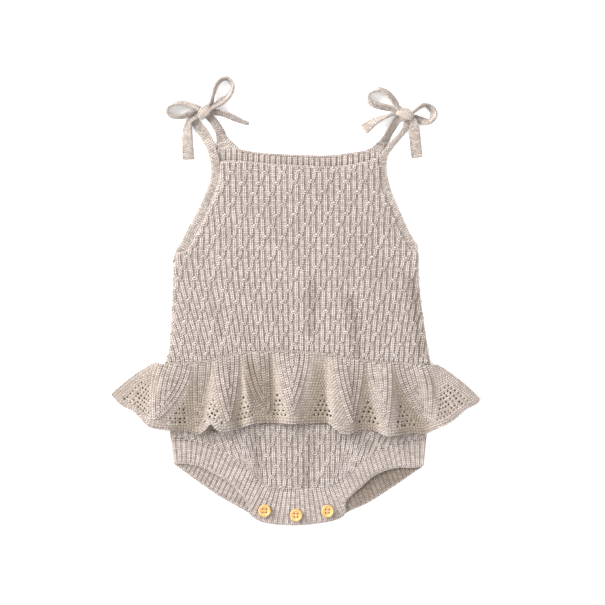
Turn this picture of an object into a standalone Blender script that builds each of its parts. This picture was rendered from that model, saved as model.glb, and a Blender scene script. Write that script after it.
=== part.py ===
"""Knitted baby romper with tie shoulders and a lace peplum, laid flat with its front up.

All sizes are in millimetres. X runs across the garment, Y from the crotch to the
shoulders and Z up from the surface that it lies on. X = 0 and Y = 0 are the middle
of its length and width, and Z = 0 is its flat underside.
"""
import math

import bmesh
import bpy
import numpy as np
from mathutils import Vector
from mathutils.geometry import delaunay_2d_cdt

MM = 0.001

# Cloth: each knit is a wall of its own thickness, and pieces stand apart at seams.
SEAM_GAP = 0.3
BODY_KNIT = 2.0        # wall of the bodice and the brief, without its ribs
LACE_KNIT = 1.8        # wall of the peplum
TAPE_KNIT = 2.0        # wall of the ties and of the armhole edging
RIM = 0.45             # share of the thickness that is left at a cloth's edge
RIM_ROUND = 2.2        # how far inside the edge the knit has its full thickness
EDGING_GAP = 0.4       # between a panel and the edging or band round it
BACK_INSET = 0.8       # how far the back's sides stand inside those of the front

# Heights of the layers above the surface.
FRONT_BASE = 3.1       # underside of the front over the back and its ribs
FOLD_BASE = 2.3        # underside of the front where it turns into the back
FOLD_ROUND = 4.0       # how far from the side fold the front has risen
LOFT = 1.2             # extra height in the middle of the front, where air lies inside
LOFT_REACH = 30.0
BRIEF_LOFT = 0.6
PEPLUM_LAYER = LACE_KNIT + SEAM_GAP     # what the back of the brief lies on
PEPLUM_LAYER_END = -140.0               # Y at which the brief lies on the surface again
PEPLUM_LAYER_FALL = 14.0                # and the length over which it comes down
PEPLUM_SEAM = 7.4      # underside of the front peplum at its seam
PEPLUM_FOLD = 2.2      # and where it turns into the back of the peplum
PEPLUM_FOLD_ROUND = 7.0

# Lattice knit: ribs that cross in pairs, each row of crossings one rib further left.
RIB_PITCH = 5.4
CROSSING_ROW = 10.5
CROSSING_PERIOD = 3
SWAY = 1.6             # how far a rib leans into its crossing
RIB_RELIEF = 0.9
KNOT_RELIEF = 1.3      # the raised middle of a crossing
LATTICE_MARGIN = 3.2   # nearest that a rib's points come to an edge
LATTICE_REACH = 140.0  # half width that the ribs are counted over
BODICE_ROWS = (126.0, -56.0)       # Y of the first row of crossings and of the last
NECK_ROWS = (141.5, 127.0)
BRIEF_ROWS = (-119.0, -180.0)
BAND_PITCH = 4.8       # 1x1 rib of the leg and crotch band
BAND_RELIEF = 0.8

# Buttons: turned wood with a raised rim and four holes.
BUTTON_DIAMETER = 12.2
BUTTON_THICKNESS = 3.0
BUTTON_SIDES = 20
# Its section from the middle of the face round to the middle of the back: share of the
# radius, height.
BUTTON_PROFILE = [(0.0, 2.3), (0.62, 2.3), (0.76, 3.0), (0.9, 2.9), (1.0, 1.8),
                  (0.86, 0.15), (0.5, 0.0), (0.0, 0.0)]
BUTTON_HOLE = 1.5
HOLE_SIDES = 8
HOLE_SPREAD = 1.6      # from the middle to a hole along each side
BUTTON_REST = 6.3      # underside of a button on the crotch band

# Spacing of the points that the curved edges and faces are made of.
PANEL_STEP = 7.0
PANEL_GRID = 16.0
WAIST_STEP = 4.0
HEM_STEP = 8.0
FLUTE_STEP = 2.0
STRAP_STEP = 5.0
TAPE_STEP = 3.2
KNOT_SIDES = 16
KNOT_RINGS = 9

OATMEAL = (0.71, 0.63, 0.56)
HONEY_WOOD = (0.88, 0.56, 0.16)

# Outlines of the front, from the photograph: x, y.
NECK_FRONT = [(-73.0, 135.0), (-61.9, 135.6), (-39.4, 134.0), (-20.9, 132.2), (4.5, 130.8),
              (33.8, 129.9), (54.2, 131.8), (69.9, 135.4), (80.6, 139.2)]
NECK_BACK = [(-79.0, 148.0), (-62.8, 149.6), (-53.1, 146.6), (-29.7, 143.4), (4.5, 141.6),
             (33.8, 141.1), (54.2, 143.8), (66.0, 145.4), (76.4, 148.6), (84.6, 143.2)]
SIDE_LEFT = [(-117.0, 47.4), (-119.8, 31.2), (-120.6, -2.0), (-122.3, -26.3),
             (-123.6, -43.9), (-126.7, -55.6), (-130.5, -61.0)]
SIDE_RIGHT = [(119.6, 49.0), (120.1, 42.9), (120.1, 21.5), (122.5, -2.0), (126.4, -26.3),
              (129.2, -43.9), (131.3, -53.7), (132.9, -63.0)]
WAIST = [(-138.5, -60.8), (-130.5, -61.6), (-111.1, -62.8), (-84.3, -60.0), (-65.8, -54.6),
         (-44.3, -51.7), (-12.1, -50.7), (4.5, -51.4), (31.8, -53.7), (55.2, -58.2),
         (73.8, -60.5), (100.1, -62.4), (132.9, -63.9), (139.0, -63.0)]
BRIEF_LEFT = [(-129.6, -61.8), (-127.5, -95.0), (-125.8, -124.0), (-121.9, -134.6)]
BRIEF_RIGHT = [(131.3, -64.2), (130.0, -97.0), (128.0, -125.0), (127.8, -134.2)]
PEPLUM_BACK = [(-136.4, -62.2), (-145.0, -67.0), (-160.0, -78.2), (-176.2, -90.6),
               (-168.0, -99.0), (-154.0, -106.5), (-141.0, -115.0), (-120.0, -119.0),
               (-80.0, -118.0), (0.0, -116.5), (80.0, -118.0), (124.0, -121.0),
               (146.0, -116.0), (162.0, -105.0), (176.4, -96.4), (168.0, -88.0),
               (154.6, -77.4), (137.4, -65.6)]
# Linked ridge of the waist seam: distance above the seam line and height of its section.
WELT_ENDS = (-124.0, 128.0)
WELT = [(0.2, 0.0), (2.8, 0.0), (2.8, 1.0), (1.5, 1.6), (0.2, 1.0)]

# Armhole edging that runs on as the front tie: outer x, y, inner x, y, underside.
FRONT_STRAP_LEFT = [(-115.5, 50.7, -107.2, 47.8, 2.3), (-110.6, 58.5, -102.3, 55.1, 2.6),
                    (-105.8, 68.3, -97.0, 65.4, 3.1), (-98.0, 82.0, -89.7, 78.5, 3.1),
                    (-92.1, 93.7, -83.8, 90.2, 3.1), (-85.3, 111.2, -76.5, 108.3, 3.1),
                    (-82.3, 122.0, -73.6, 121.0, 3.1), (-83.3, 135.6, -73.8, 135.0, 3.1),
                    (-86.2, 146.3, -77.4, 147.6, 2.8), (-89.6, 153.2, -81.0, 157.1, 2.0),
                    (-95.0, 162.4, -86.7, 167.4, 1.0), (-100.7, 171.4, -94.0, 175.9, 1.0)]
FRONT_STRAP_RIGHT = [(119.3, 53.7, 111.3, 49.8, 2.3), (116.2, 57.6, 107.9, 53.7, 2.6),
                     (110.8, 66.3, 102.5, 62.9, 3.1), (105.0, 79.0, 96.7, 75.6, 3.1),
                     (98.6, 93.7, 90.3, 90.7, 3.1), (94.2, 103.4, 85.5, 101.0, 3.1),
                     (90.3, 117.1, 81.6, 115.6, 3.1), (88.8, 128.8, 80.6, 129.4, 3.1),
                     (89.7, 139.5, 81.4, 139.6, 3.1), (93.3, 145.4, 86.9, 147.3, 2.8),
                     (99.6, 153.7, 93.8, 155.1, 1.8), (106.0, 161.0, 100.1, 161.9, 0.8),
                     (109.9, 165.9, 103.5, 167.3, 0.6), (111.6, 172.4, 105.6, 173.6, 0.3)]

# 1x1 rib bands of leg, crotch and leg: inner x, y and outer x, y along each fan of ribs.
FRONT_BAND = [(-121.4, -135.0, -118.8, -159.4), (-106.7, -136.1, -106.7, -159.3),
              (-89.2, -140.5, -94.0, -161.9), (-72.6, -147.3, -80.4, -168.3),
              (-56.3, -156.8, -65.9, -177.1), (-45.3, -168.0, -54.0, -188.8),
              (-36.5, -176.6, -46.6, -198.5), (-30.6, -180.9, -44.7, -207.8),
              (-24.0, -183.4, -35.5, -215.4), (-14.0, -185.0, -20.9, -218.5),
              (0.6, -185.4, 0.6, -219.5), (18.1, -184.9, 24.0, -217.4),
              (28.9, -183.4, 38.6, -214.4), (35.7, -180.9, 47.9, -208.8),
              (41.6, -177.5, 48.6, -197.1), (49.4, -171.2, 56.7, -187.8),
              (59.1, -163.9, 65.4, -180.5), (68.9, -156.1, 73.8, -172.7),
              (80.6, -147.8, 86.4, -166.3), (97.2, -142.4, 101.1, -162.9),
              (112.8, -137.6, 114.7, -163.3), (127.4, -134.6, 124.9, -161.5)]
BACK_BAND = [(-121.4, -135.0, -118.8, -159.4), (-102.8, -142.4, -109.7, -166.3),
             (-86.2, -153.2, -97.0, -175.6), (-68.7, -164.9, -79.4, -187.9),
             (-51.1, -175.6, -61.9, -198.3), (-39.4, -181.4, -50.1, -204.9),
             (-30.6, -184.0, -43.7, -208.8), (-17.9, -185.9, -30.6, -214.6),
             (0.6, -186.4, 0.6, -217.6), (20.0, -185.9, 32.8, -213.7),
             (32.8, -183.9, 46.7, -208.8), (42.6, -180.4, 54.3, -204.9),
             (59.1, -171.7, 70.8, -197.6), (76.7, -160.5, 88.4, -186.6),
             (94.2, -149.8, 105.0, -175.4), (110.8, -140.0, 115.7, -167.8),
             (127.4, -134.6, 124.9, -161.5)]

# Flutes of the front peplum: x at the seam, x and y at the hem, underside at the hem.
FLUTES = [(-137.0, -179.9, -91.2, 2.2), (-135.0, -170.1, -101.5, 5.0),
          (-132.1, -158.4, -107.3, 9.0), (-128.2, -150.6, -114.2, 12.0),
          (-122.3, -141.9, -122.9, 15.0), (-112.6, -127.2, -125.9, 13.0),
          (-104.8, -114.5, -126.3, 10.0), (-98.9, -104.8, -127.0, 9.2),
          (-92.1, -95.5, -130.7, 10.5), (-87.2, -88.2, -126.5, 12.5),
          (-82.3, -82.0, -122.6, 16.0), (-76.5, -75.5, -125.4, 17.5),
          (-70.6, -68.7, -127.3, 15.5), (-58.0, -55.0, -124.5, 9.2),
          (-50.1, -46.2, -121.5, 13.5), (-43.3, -37.5, -119.3, 10.5),
          (-36.5, -24.8, -119.0, 9.2), (-27.7, -18.9, -119.0, 9.5),
          (-12.1, -10.1, -119.5, 15.5), (-2.3, -3.3, -120.0, 16.0),
          (7.4, 6.4, -119.5, 11.5), (18.1, 19.1, -119.3, 9.2),
          (27.9, 29.9, -118.8, 9.2), (33.8, 34.7, -120.6, 15.5),
          (39.6, 40.6, -125.9, 17.5), (48.4, 50.3, -129.8, 15.5),
          (57.2, 59.1, -126.8, 10.5), (64.0, 66.0, -125.4, 9.2),
          (71.8, 76.7, -126.3, 10.5), (82.5, 88.4, -131.7, 16.0),
          (88.4, 95.2, -131.2, 14.5), (96.2, 105.0, -130.2, 10.0),
          (103.0, 114.7, -128.9, 9.2), (109.9, 125.5, -129.3, 10.5),
          (118.6, 138.1, -123.9, 15.0), (123.5, 147.4, -120.0, 13.0),
          (128.4, 156.3, -114.1, 9.5), (132.3, 165.2, -106.4, 7.0),
          (136.2, 177.2, -100.2, 4.0), (138.1, 180.1, -95.6, 2.2)]
FAN_ROWS = (0.0, 0.14, 0.28, 0.42, 0.56, 0.7, 0.84, 0.92, 1.0)
FAN_BOTTOM = 0.84      # share of the depth at which a fan's ribs have met
FAN_STEM = 3.4         # width of a fan where its ribs have met
FAN_RIBS = 4
FAN_RELIEF = 0.7
FAN_CURVE = 1.7        # how late the ribs of a fan turn in
OPENWORK_STEP = 7.0    # widest stretch between two lines of the peplum
PEPLUM_BOW = 2.5       # how far its side folds round out
PEPLUM_BOW_REACH = 3.0
# Leaf fans: x of its first and last rib at the seam, x of its stem at the hem.
FANS = [(-132.0, -100.5, -138.9), (-98.5, -82.0, -96.0), (-79.5, -54.5, -64.8),
        (-51.5, -26.0, -25.8), (-19.9, 13.5, -3.3), (36.7, 66.5, 55.2),
        (69.5, 93.5, 89.4), (96.5, 127.0, 131.3)]

# Soft ridges of the front, as it lies: x, y of both ends, half width, height.
RIDGES = [(-12.0, -128.0, -10.0, -182.0, 15.0, 1.0), (38.0, -135.0, 34.0, -180.0, 12.0, 0.9),
          (-70.0, 30.0, -58.0, -40.0, 26.0, 0.9), (52.0, 60.0, 66.0, -30.0, 26.0, 0.8),
          (-8.0, 105.0, 2.0, 20.0, 24.0, 0.8)]

# Bow tapes: x, y, lean of the tape in degrees, width, lowest point.
TAPES = {
    "back_strap_left": [(-70.6, 150.6, 0, 15.5, 0.0), (-71.6, 157.0, 10, 12.0, 0.0),
                        (-73.9, 164.0, 20, 9.5, 0.0), (-77.8, 171.0, 20, 8.5, 0.0),
                        (-81.6, 176.2, 6, 7.4, 0.0), (-84.2, 178.8, 0, 6.6, 0.0)],
    "back_strap_right": [(81.4, 147.4, 0, 11.0, 0.0), (86.0, 154.2, 30, 9.0, 0.0),
                         (91.6, 164.0, 40, 8.5, 0.0), (96.6, 171.8, 20, 7.6, 0.0),
                         (99.4, 175.4, 0, 6.4, 0.0)],
    "loop_upper_left": [(-82.0, 191.6, 60, 6.0, 3.2), (-80.6, 198.0, 80, 8.0, 1.5),
                        (-78.0, 206.8, 80, 10.0, 0.0), (-74.5, 212.7, 78, 10.0, 0.0),
                        (-67.7, 216.1, 80, 10.0, 0.0), (-62.0, 212.0, 80, 10.0, 0.0),
                        (-61.4, 205.4, 76, 10.0, 0.0), (-65.3, 198.5, 66, 10.0, 0.6),
                        (-71.6, 193.2, 52, 9.0, 2.0), (-79.2, 188.4, 45, 6.5, 4.6)],
    "loop_side_left": [(-95.6, 187.4, 40, 6.0, 5.0), (-101.9, 189.3, 50, 9.0, 2.6),
                       (-110.6, 191.7, 58, 10.0, 0.6), (-118.4, 191.2, 70, 10.0, 0.0),
                       (-124.3, 186.8, 84, 10.0, 0.0), (-124.8, 181.9, 88, 10.0, 0.0),
                       (-120.4, 178.9, 82, 10.0, 0.0), (-112.6, 178.5, 76, 10.0, 0.0),
                       (-105.2, 180.6, 68, 9.0, 0.6), (-97.4, 183.4, 62, 6.0, 1.6)],
    "tail_side_left": [(-80.2, 182.9, 30, 5.0, 1.0), (-73.0, 182.4, 55, 8.0, 0.4),
                       (-65.8, 180.0, 60, 10.0, 0.0), (-54.0, 174.8, 72, 10.0, 0.0),
                       (-45.4, 171.6, 84, 9.0, 0.0)],
    "tail_down_left": [(-96.6, 178.8, 40, 5.5, 2.4), (-102.6, 174.2, 50, 8.0, 0.6),
                       (-105.3, 166.8, 35, 10.0, 0.0), (-105.3, 154.6, 12, 10.4, 0.0),
                       (-104.5, 137.0, 0, 11.5, 0.0)],
    "loop_side_right": [(99.2, 188.4, 50, 6.0, 4.6), (97.2, 192.0, 55, 9.0, 2.0),
                        (91.9, 199.3, 58, 10.0, 0.4), (85.5, 204.1, 62, 10.0, 0.0),
                        (79.0, 204.9, 70, 10.0, 0.0), (72.6, 201.6, 82, 10.0, 0.0),
                        (70.9, 196.1, 82, 10.0, 0.0), (74.1, 191.6, 72, 10.0, 0.0),
                        (80.6, 189.1, 66, 10.0, 0.0), (88.7, 187.5, 62, 9.0, 1.0),
                        (96.6, 185.6, 55, 6.0, 3.0)],
    "loop_back_right": [(115.8, 183.8, 80, 6.0, 3.4), (119.4, 186.6, 80, 9.0, 1.2),
                        (124.3, 189.8, 80, 10.0, 0.0), (129.2, 189.4, 74, 10.0, 0.0),
                        (134.2, 184.6, 58, 10.0, 0.0), (134.8, 178.6, 58, 10.0, 0.0),
                        (130.7, 174.0, 66, 10.0, 0.0), (125.6, 173.8, 44, 9.0, 0.0),
                        (120.8, 175.6, 12, 6.4, 0.0), (117.0, 178.0, 0, 5.0, 0.0)],
    "tail_side_right": [(96.6, 181.3, 70, 4.4, 0.4), (90.0, 179.4, 72, 7.0, 0.0),
                        (84.6, 177.4, 66, 9.4, 0.0), (77.4, 174.2, 50, 10.0, 0.0),
                        (70.8, 169.6, 25, 10.0, 0.0), (66.4, 166.2, 5, 10.0, 0.0)],
    "tail_down_right": [(115.2, 173.8, 25, 6.5, 3.4), (115.6, 170.2, 22, 9.0, 2.8),
                        (116.0, 162.0, 10, 10.6, 0.8), (117.2, 149.0, 0, 11.0, 0.0),
                        (118.6, 138.8, 0, 10.6, 0.0)],
}
# Knots: x, y, turn in degrees, length, width, height.
KNOTS = {"knot_left": (-88.2, 183.8, 45, 18.6, 13.4, 11.0),
         "knot_right": (106.6, 181.0, -20, 19.4, 14.4, 11.4)}
# Middles of the buttons on the crotch band: x, y.
BUTTONS = {"button_left": (-29.9, -204.9), "button_middle": (0.7, -209.3),
           "button_right": (31.3, -205.4)}


def clear_scene():
    for item in list(bpy.data.objects):
        bpy.data.objects.remove(item, do_unlink=True)


def material(name, colour, roughness):
    finish = bpy.data.materials.new(name)
    finish.use_nodes = True
    shader = finish.node_tree.nodes["Principled BSDF"]
    shader.inputs["Base Color"].default_value = (*colour, 1.0)
    shader.inputs["Roughness"].default_value = roughness
    shader.inputs["Metallic"].default_value = 0.0
    return finish


def add_object(name, shape, colour=OATMEAL, roughness=0.95):
    """Make one closed body from a bmesh in millimetres, its faces pointing out."""
    bmesh.ops.triangulate(shape, faces=shape.faces)
    bmesh.ops.recalc_face_normals(shape, faces=shape.faces)
    bmesh.ops.scale(shape, vec=Vector((MM, MM, MM)), verts=shape.verts)
    mesh = bpy.data.meshes.new(name)
    shape.to_mesh(mesh)
    shape.free()
    mesh.materials.append(material(name, colour, roughness))
    item = bpy.data.objects.new(name, mesh)
    romper.objects.link(item)
    return item


def curve_through(points, step):
    """Points a step apart on a smooth curve through a table's rows, of any width."""
    rows = np.array(points, dtype=float)
    ends = np.vstack([2 * rows[0] - rows[1], rows, 2 * rows[-1] - rows[-2]])
    dense = []
    for row in range(1, len(ends) - 2):
        before, here, there, after = ends[row - 1:row + 3]
        for t in np.arange(0, 1, 0.125):
            dense.append(0.5 * (2 * here + (there - before) * t
                                + (2 * before - 5 * here + 4 * there - after) * t ** 2
                                + (3 * here - before - 3 * there + after) * t ** 3))
    dense.append(rows[-1])
    dense = np.array(dense)
    run = np.concatenate([[0], np.cumsum(np.hypot(*np.diff(dense[:, :2], axis=0).T))])
    count = max(2, int(round(run[-1] / step)) + 1)
    stops = np.linspace(0, run[-1], count)
    return np.column_stack([np.interp(stops, run, column) for column in dense.T])


def distance_to(points, path):
    """How far each point is from a line of points, in plan."""
    points = np.asarray(points, dtype=float)
    nearest = np.full(len(points), np.inf)
    for start, end in zip(path[:-1], path[1:]):
        leg = end - start
        share = np.clip((points - start) @ leg / max(leg @ leg, 1e-9), 0, 1)
        gap = points - (start + share[:, None] * leg)
        nearest = np.minimum(nearest, np.hypot(gap[:, 0], gap[:, 1]))
    return nearest


def inside(points, outline):
    """Whether each point lies inside a closed outline."""
    x, y = np.asarray(points, dtype=float).T
    odd = np.zeros(len(x), dtype=bool)
    for (x0, y0), (x1, y1) in zip(outline, np.roll(outline, -1, axis=0)):
        if y0 != y1:
            odd ^= ((y0 > y) != (y1 > y)) & (x < (x1 - x0) * (y - y0) / (y1 - y0) + x0)
    return odd


def rounded(distance, reach):
    """0 at an edge and 1 from a reach inwards, along a quarter round."""
    run = np.clip(np.asarray(distance) / reach, 0, 1)
    return np.sqrt(1 - (1 - run) ** 2)


def closed(path):
    return np.vstack([path, path[:1]])


def loft(name, rings, colour=OATMEAL):
    """A solid through like sections, closed at both ends."""
    shape = bmesh.new()
    rows = [[shape.verts.new(point) for point in ring] for ring in rings]
    for near, far in zip(rows[:-1], rows[1:]):
        for side in range(len(near)):
            after = (side + 1) % len(near)
            shape.faces.new((near[side], near[after], far[after], far[side]))
    shape.faces.new(rows[0][::-1])
    shape.faces.new(rows[-1])
    return add_object(name, shape, colour)


def fill(points, rim, edges):
    """Triangles between the points of a flat outline, the first ones, and those inside."""
    flat = [Vector((x, y)) for x, y in points]
    found = delaunay_2d_cdt(flat, edges, [list(range(rim))], 1, 1e-6)
    source = [origin[0] for origin in found[3]]
    return [[source[corner] for corner in face] for face in found[2]]


def flat(points):
    """Nothing above the surface that the garment lies on."""
    return np.zeros(len(points))


def panel(name, outline, underside, thickness, raised=None):
    """A knitted panel: plain inside, and its ribs raised in the points of its outside."""
    rim = len(outline)
    low = outline.min(axis=0) + PANEL_GRID / 2
    high = outline.max(axis=0)
    spots = np.array([(x, y) for x in np.arange(low[0], high[0], PANEL_GRID)
                      for y in np.arange(low[1], high[1], PANEL_GRID)])
    spots = spots[inside(spots, outline)]
    spots = spots[distance_to(spots, closed(outline)) > PANEL_GRID / 4]
    points, relief, edges = raised or (spots, flat(spots), [])
    top = np.vstack([outline, points])
    bottom = np.vstack([outline, spots])
    lift = np.concatenate([np.zeros(rim), relief])
    full = RIM + (1 - RIM) * rounded(distance_to(top, closed(outline)), RIM_ROUND)
    heights = underside(top) + thickness * full + lift
    shape = bmesh.new()
    upper = [shape.verts.new((x, y, z)) for (x, y), z in zip(top, heights)]
    lower = [shape.verts.new((x, y, z)) for (x, y), z in zip(bottom, underside(bottom))]
    for face in fill(top, rim, [(a + rim, b + rim) for a, b in edges]):
        shape.faces.new([upper[corner] for corner in face])
    for face in fill(bottom, rim, []):
        shape.faces.new([lower[corner] for corner in reversed(face)])
    for corner in range(rim):
        after = (corner + 1) % rim
        shape.faces.new((upper[after], upper[corner], lower[corner], lower[after]))
    return add_object(name, shape)


def lattice(outline, ends, crossing=True):
    """Crests and gutters of the crossed ribs inside an outline, with the lines along them."""
    reach = int(LATTICE_REACH / RIB_PITCH)
    rows = int((ends[0] - ends[1]) / CROSSING_ROW) + 1
    points, relief, marks = [], [], []
    for row in range(rows):
        y = ends[0] - row * CROSSING_ROW
        lean = []
        for rib in range(-reach, reach + 2):
            turn = (rib + row) % CROSSING_PERIOD
            lean.append((SWAY, -SWAY, 0.0)[turn] if crossing else 0.0)
        for spot, rib in enumerate(range(-reach, reach + 1)):
            crossed = crossing and (rib + row) % CROSSING_PERIOD == 0
            points.append((rib * RIB_PITCH + lean[spot], y))
            relief.append(RIB_RELIEF)
            marks.append((row, 2 * rib))
            middle = (lean[spot] + lean[spot + 1]) / 2
            points.append(((rib + 0.5) * RIB_PITCH + middle, y))
            relief.append(KNOT_RELIEF if crossed else 0.0)
            marks.append((row, 2 * rib + 1))
    points, relief = np.array(points), np.array(relief)
    kept = inside(points, outline) & (distance_to(points, closed(outline)) > LATTICE_MARGIN)
    places = {mark: place for place, mark in enumerate(m for m, k in zip(marks, kept) if k)}
    edges = [(place, places[(row + 1, line)]) for (row, line), place in places.items()
             if (row + 1, line) in places]
    return points[kept], relief[kept], edges


def ridge_height(points):
    """Height that the soft ridges add to the front."""
    total = np.zeros(len(points))
    for x0, y0, x1, y1, width, height in RIDGES:
        away = distance_to(points, np.array([(x0, y0), (x1, y1)])) / width
        total += height * np.exp(-(away ** 2) * 2)
    return total


def front_underside(folds, rise, loft, carried):
    """Underside of the front: low along the side folds and lofted in the middle."""
    def height(points):
        away = np.minimum(*[distance_to(points, fold) for fold in folds])
        lofted = (loft + ridge_height(points)) * rounded(away, LOFT_REACH)
        return FOLD_BASE + rise * rounded(away, FOLD_ROUND) + lofted + carried(points)
    return height


def on_back_peplum(points):
    """Height that the flat back of the peplum gives to the brief that lies on it."""
    past = np.clip((points[:, 1] - PEPLUM_LAYER_END) / PEPLUM_LAYER_FALL, 0, 1)
    return PEPLUM_LAYER * past * past * (3 - 2 * past)


def between(path, low, high):
    """The stretch of a line between two places along X."""
    return path[(path[:, 0] > low) & (path[:, 0] < high)]


def shifted(path, x, y):
    return path + np.array([x, y])


def band(name, rows, relief, step, thickness, underside=None):
    """A band between two edges, with or without ribs across it."""
    table = np.array(rows)
    middle = (table[:, :2] + table[:, 2:4]) / 2
    path = curve_through(np.column_stack([middle, table]), step)
    rings = []
    for place, row in enumerate(path):
        inner, outer = row[2:4], row[4:6]
        low = underside if underside is not None else row[6]
        lift = relief if place % 2 else 0.0
        in_from_edge = RIM_ROUND / 2 / np.hypot(*(outer - inner))
        ring = []
        for share, full, raise_ in ((0, RIM, 0), (in_from_edge, 1, 1),
                                    (1 - in_from_edge, 1, 1), (1, RIM, 0)):
            spot = inner + (outer - inner) * share
            ring.append((*spot, low + thickness * full + lift * raise_))
        ring.append((*outer, low))
        ring.append((*inner, low))
        rings.append(ring)
    return loft(name, rings)


def tape(name, rows):
    """A flat knitted tape along a smooth route, leaning as it turns."""
    path = curve_through(rows, TAPE_STEP)
    rings = []
    for place, (x, y, lean, width, lowest) in enumerate(path):
        before, after = path[max(place - 1, 0)], path[min(place + 1, len(path) - 1)]
        along = np.array([after[0] - before[0], after[1] - before[1]])
        along /= np.hypot(*along)
        tilt = math.radians(lean)
        across = np.array([-along[1] * math.cos(tilt), along[0] * math.cos(tilt),
                           math.sin(tilt)])
        face = np.array([along[1] * math.sin(tilt), -along[0] * math.sin(tilt),
                         math.cos(tilt)])
        half, thick = width / 2, TAPE_KNIT / 2
        edge = half - TAPE_KNIT / 3
        section = [(-half, 0), (-edge, -thick), (edge, -thick), (half, 0), (edge, thick),
                   (-edge, thick)]
        spots = [across * u + face * v for u, v in section]
        rise = max(lowest, 0.0) - min(spot[2] for spot in spots)
        rings.append([(x + s[0], y + s[1], s[2] + rise) for s in spots])
    return loft(name, rings)


def knot(name, x, y, turn, length, width, height):
    """The lump where a tie is knotted, flat where it rests."""
    bpy.ops.mesh.primitive_uv_sphere_add(segments=KNOT_SIDES, ring_count=KNOT_RINGS, radius=0.5)
    ball = bpy.context.object
    shape = bmesh.new()
    shape.from_mesh(ball.data)
    bpy.data.objects.remove(ball)
    turned = math.radians(turn)
    for vert in shape.verts:
        u, v, w = vert.co.x * length, vert.co.y * width, vert.co.z * height
        vert.co = Vector((x + u * math.cos(turned) - v * math.sin(turned),
                          y + u * math.sin(turned) + v * math.cos(turned),
                          w + height / 2))
    return add_object(name, shape)


def button(name, x, y):
    """A turned wooden button: raised rim, dished middle and four holes."""
    radius = BUTTON_DIAMETER / 2
    mesh = bpy.data.meshes.new(name)
    mesh.from_pydata([(share * radius * MM, 0.0, up * MM) for share, up in BUTTON_PROFILE],
                     [(step, step + 1) for step in range(len(BUTTON_PROFILE) - 1)], [])
    disc = bpy.data.objects.new(name, mesh)
    romper.objects.link(disc)
    disc.location = (x * MM, y * MM, BUTTON_REST * MM)
    turned = disc.modifiers.new("turned", "SCREW")
    turned.steps = BUTTON_SIDES
    turned.render_steps = BUTTON_SIDES
    turned.use_merge_vertices = True
    turned.merge_threshold = 0.00001
    for number, (side_x, side_y) in enumerate(((-1, -1), (1, -1), (1, 1), (-1, 1))):
        bpy.ops.mesh.primitive_cylinder_add(
            vertices=HOLE_SIDES, radius=BUTTON_HOLE / 2 * MM, depth=3 * BUTTON_THICKNESS * MM,
            location=((x + side_x * HOLE_SPREAD) * MM, (y + side_y * HOLE_SPREAD) * MM,
                      (BUTTON_REST + BUTTON_THICKNESS / 2) * MM))
        drill = bpy.context.object
        drill.name = name + "_drill_" + str(number)
        drill.hide_render = True
        drill.display_type = "WIRE"
        for holder in list(drill.users_collection):
            holder.objects.unlink(drill)
        cutters.objects.link(drill)
        cut = disc.modifiers.new("hole", "BOOLEAN")
        cut.operation = "DIFFERENCE"
        cut.solver = "EXACT"
        cut.object = drill
    disc.data.materials.append(material(name, HONEY_WOOD, 0.45))
    return disc


def bodice():
    """Front and back of the bodice, between the neck, the armholes and the waist."""
    left = curve_through(SIDE_LEFT, PANEL_STEP)
    right = curve_through(SIDE_RIGHT, PANEL_STEP)
    neck = curve_through(NECK_FRONT, PANEL_STEP)
    seam = curve_through(WAIST, PANEL_STEP)
    waist = shifted(between(seam, left[-1, 0] + 1, right[-1, 0] - 1), 0, SEAM_GAP / 2)
    hole_left = curve_through(np.array(FRONT_STRAP_LEFT)[:8, 2:4][::-1], PANEL_STEP)
    hole_right = curve_through(np.array(FRONT_STRAP_RIGHT)[:9, 2:4], PANEL_STEP)
    outline = np.vstack([shifted(hole_left, EDGING_GAP, -SEAM_GAP), left, waist, right[::-1],
                         shifted(hole_right, -EDGING_GAP, -SEAM_GAP), neck[::-1][1:-1]])
    under = front_underside((left, right), FRONT_BASE - FOLD_BASE, LOFT, flat)
    panel("front_bodice", outline, under, BODY_KNIT, lattice(outline, BODICE_ROWS))

    neck = curve_through(NECK_BACK, PANEL_STEP)
    hole_left = curve_through(np.array(FRONT_STRAP_LEFT)[:9, :2][::-1], PANEL_STEP)
    hole_right = curve_through(np.array(FRONT_STRAP_RIGHT)[:9, :2], PANEL_STEP)
    outline = np.vstack([shifted(hole_left, BACK_INSET, 0), shifted(left, BACK_INSET, 0), waist,
                         shifted(right, -BACK_INSET, 0)[::-1],
                         shifted(hole_right, -BACK_INSET, 0), neck[::-1]])
    ribs = lattice(outline, NECK_ROWS, crossing=False)
    panel("back_bodice", outline, flat, BODY_KNIT, ribs)


def brief():
    """Front and back of the brief, from the waist to the rib bands."""
    left = curve_through(BRIEF_LEFT, PANEL_STEP)
    right = curve_through(BRIEF_RIGHT, PANEL_STEP)
    seam = curve_through(WAIST, PANEL_STEP)
    waist = shifted(between(seam, left[0, 0] + 1, right[0, 0] - 1), 0, -SEAM_GAP / 2)
    outlines = []
    for rows in (FRONT_BAND, BACK_BAND):
        edge = curve_through(np.array(rows)[:, :2], PANEL_STEP)[1:-1]
        outlines.append(np.vstack([left, shifted(edge, 0, EDGING_GAP), right[::-1],
                                   waist[::-1]]))
    under = front_underside((left, right), 0.0, BRIEF_LOFT, on_back_peplum)
    panel("front_brief", outlines[0], under, BODY_KNIT, lattice(outlines[0], BRIEF_ROWS))
    panel("back_brief", outlines[1], on_back_peplum, BODY_KNIT)


def rib_bands():
    """The 1x1 rib band of leg, crotch and leg, in front and behind."""
    band("front_rib_band", FRONT_BAND, BAND_RELIEF, BAND_PITCH / 2, BODY_KNIT,
              underside=FRONT_BASE)
    band("back_rib_band", BACK_BAND, BAND_RELIEF, BAND_PITCH / 2, BODY_KNIT,
              underside=0.0)


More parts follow.
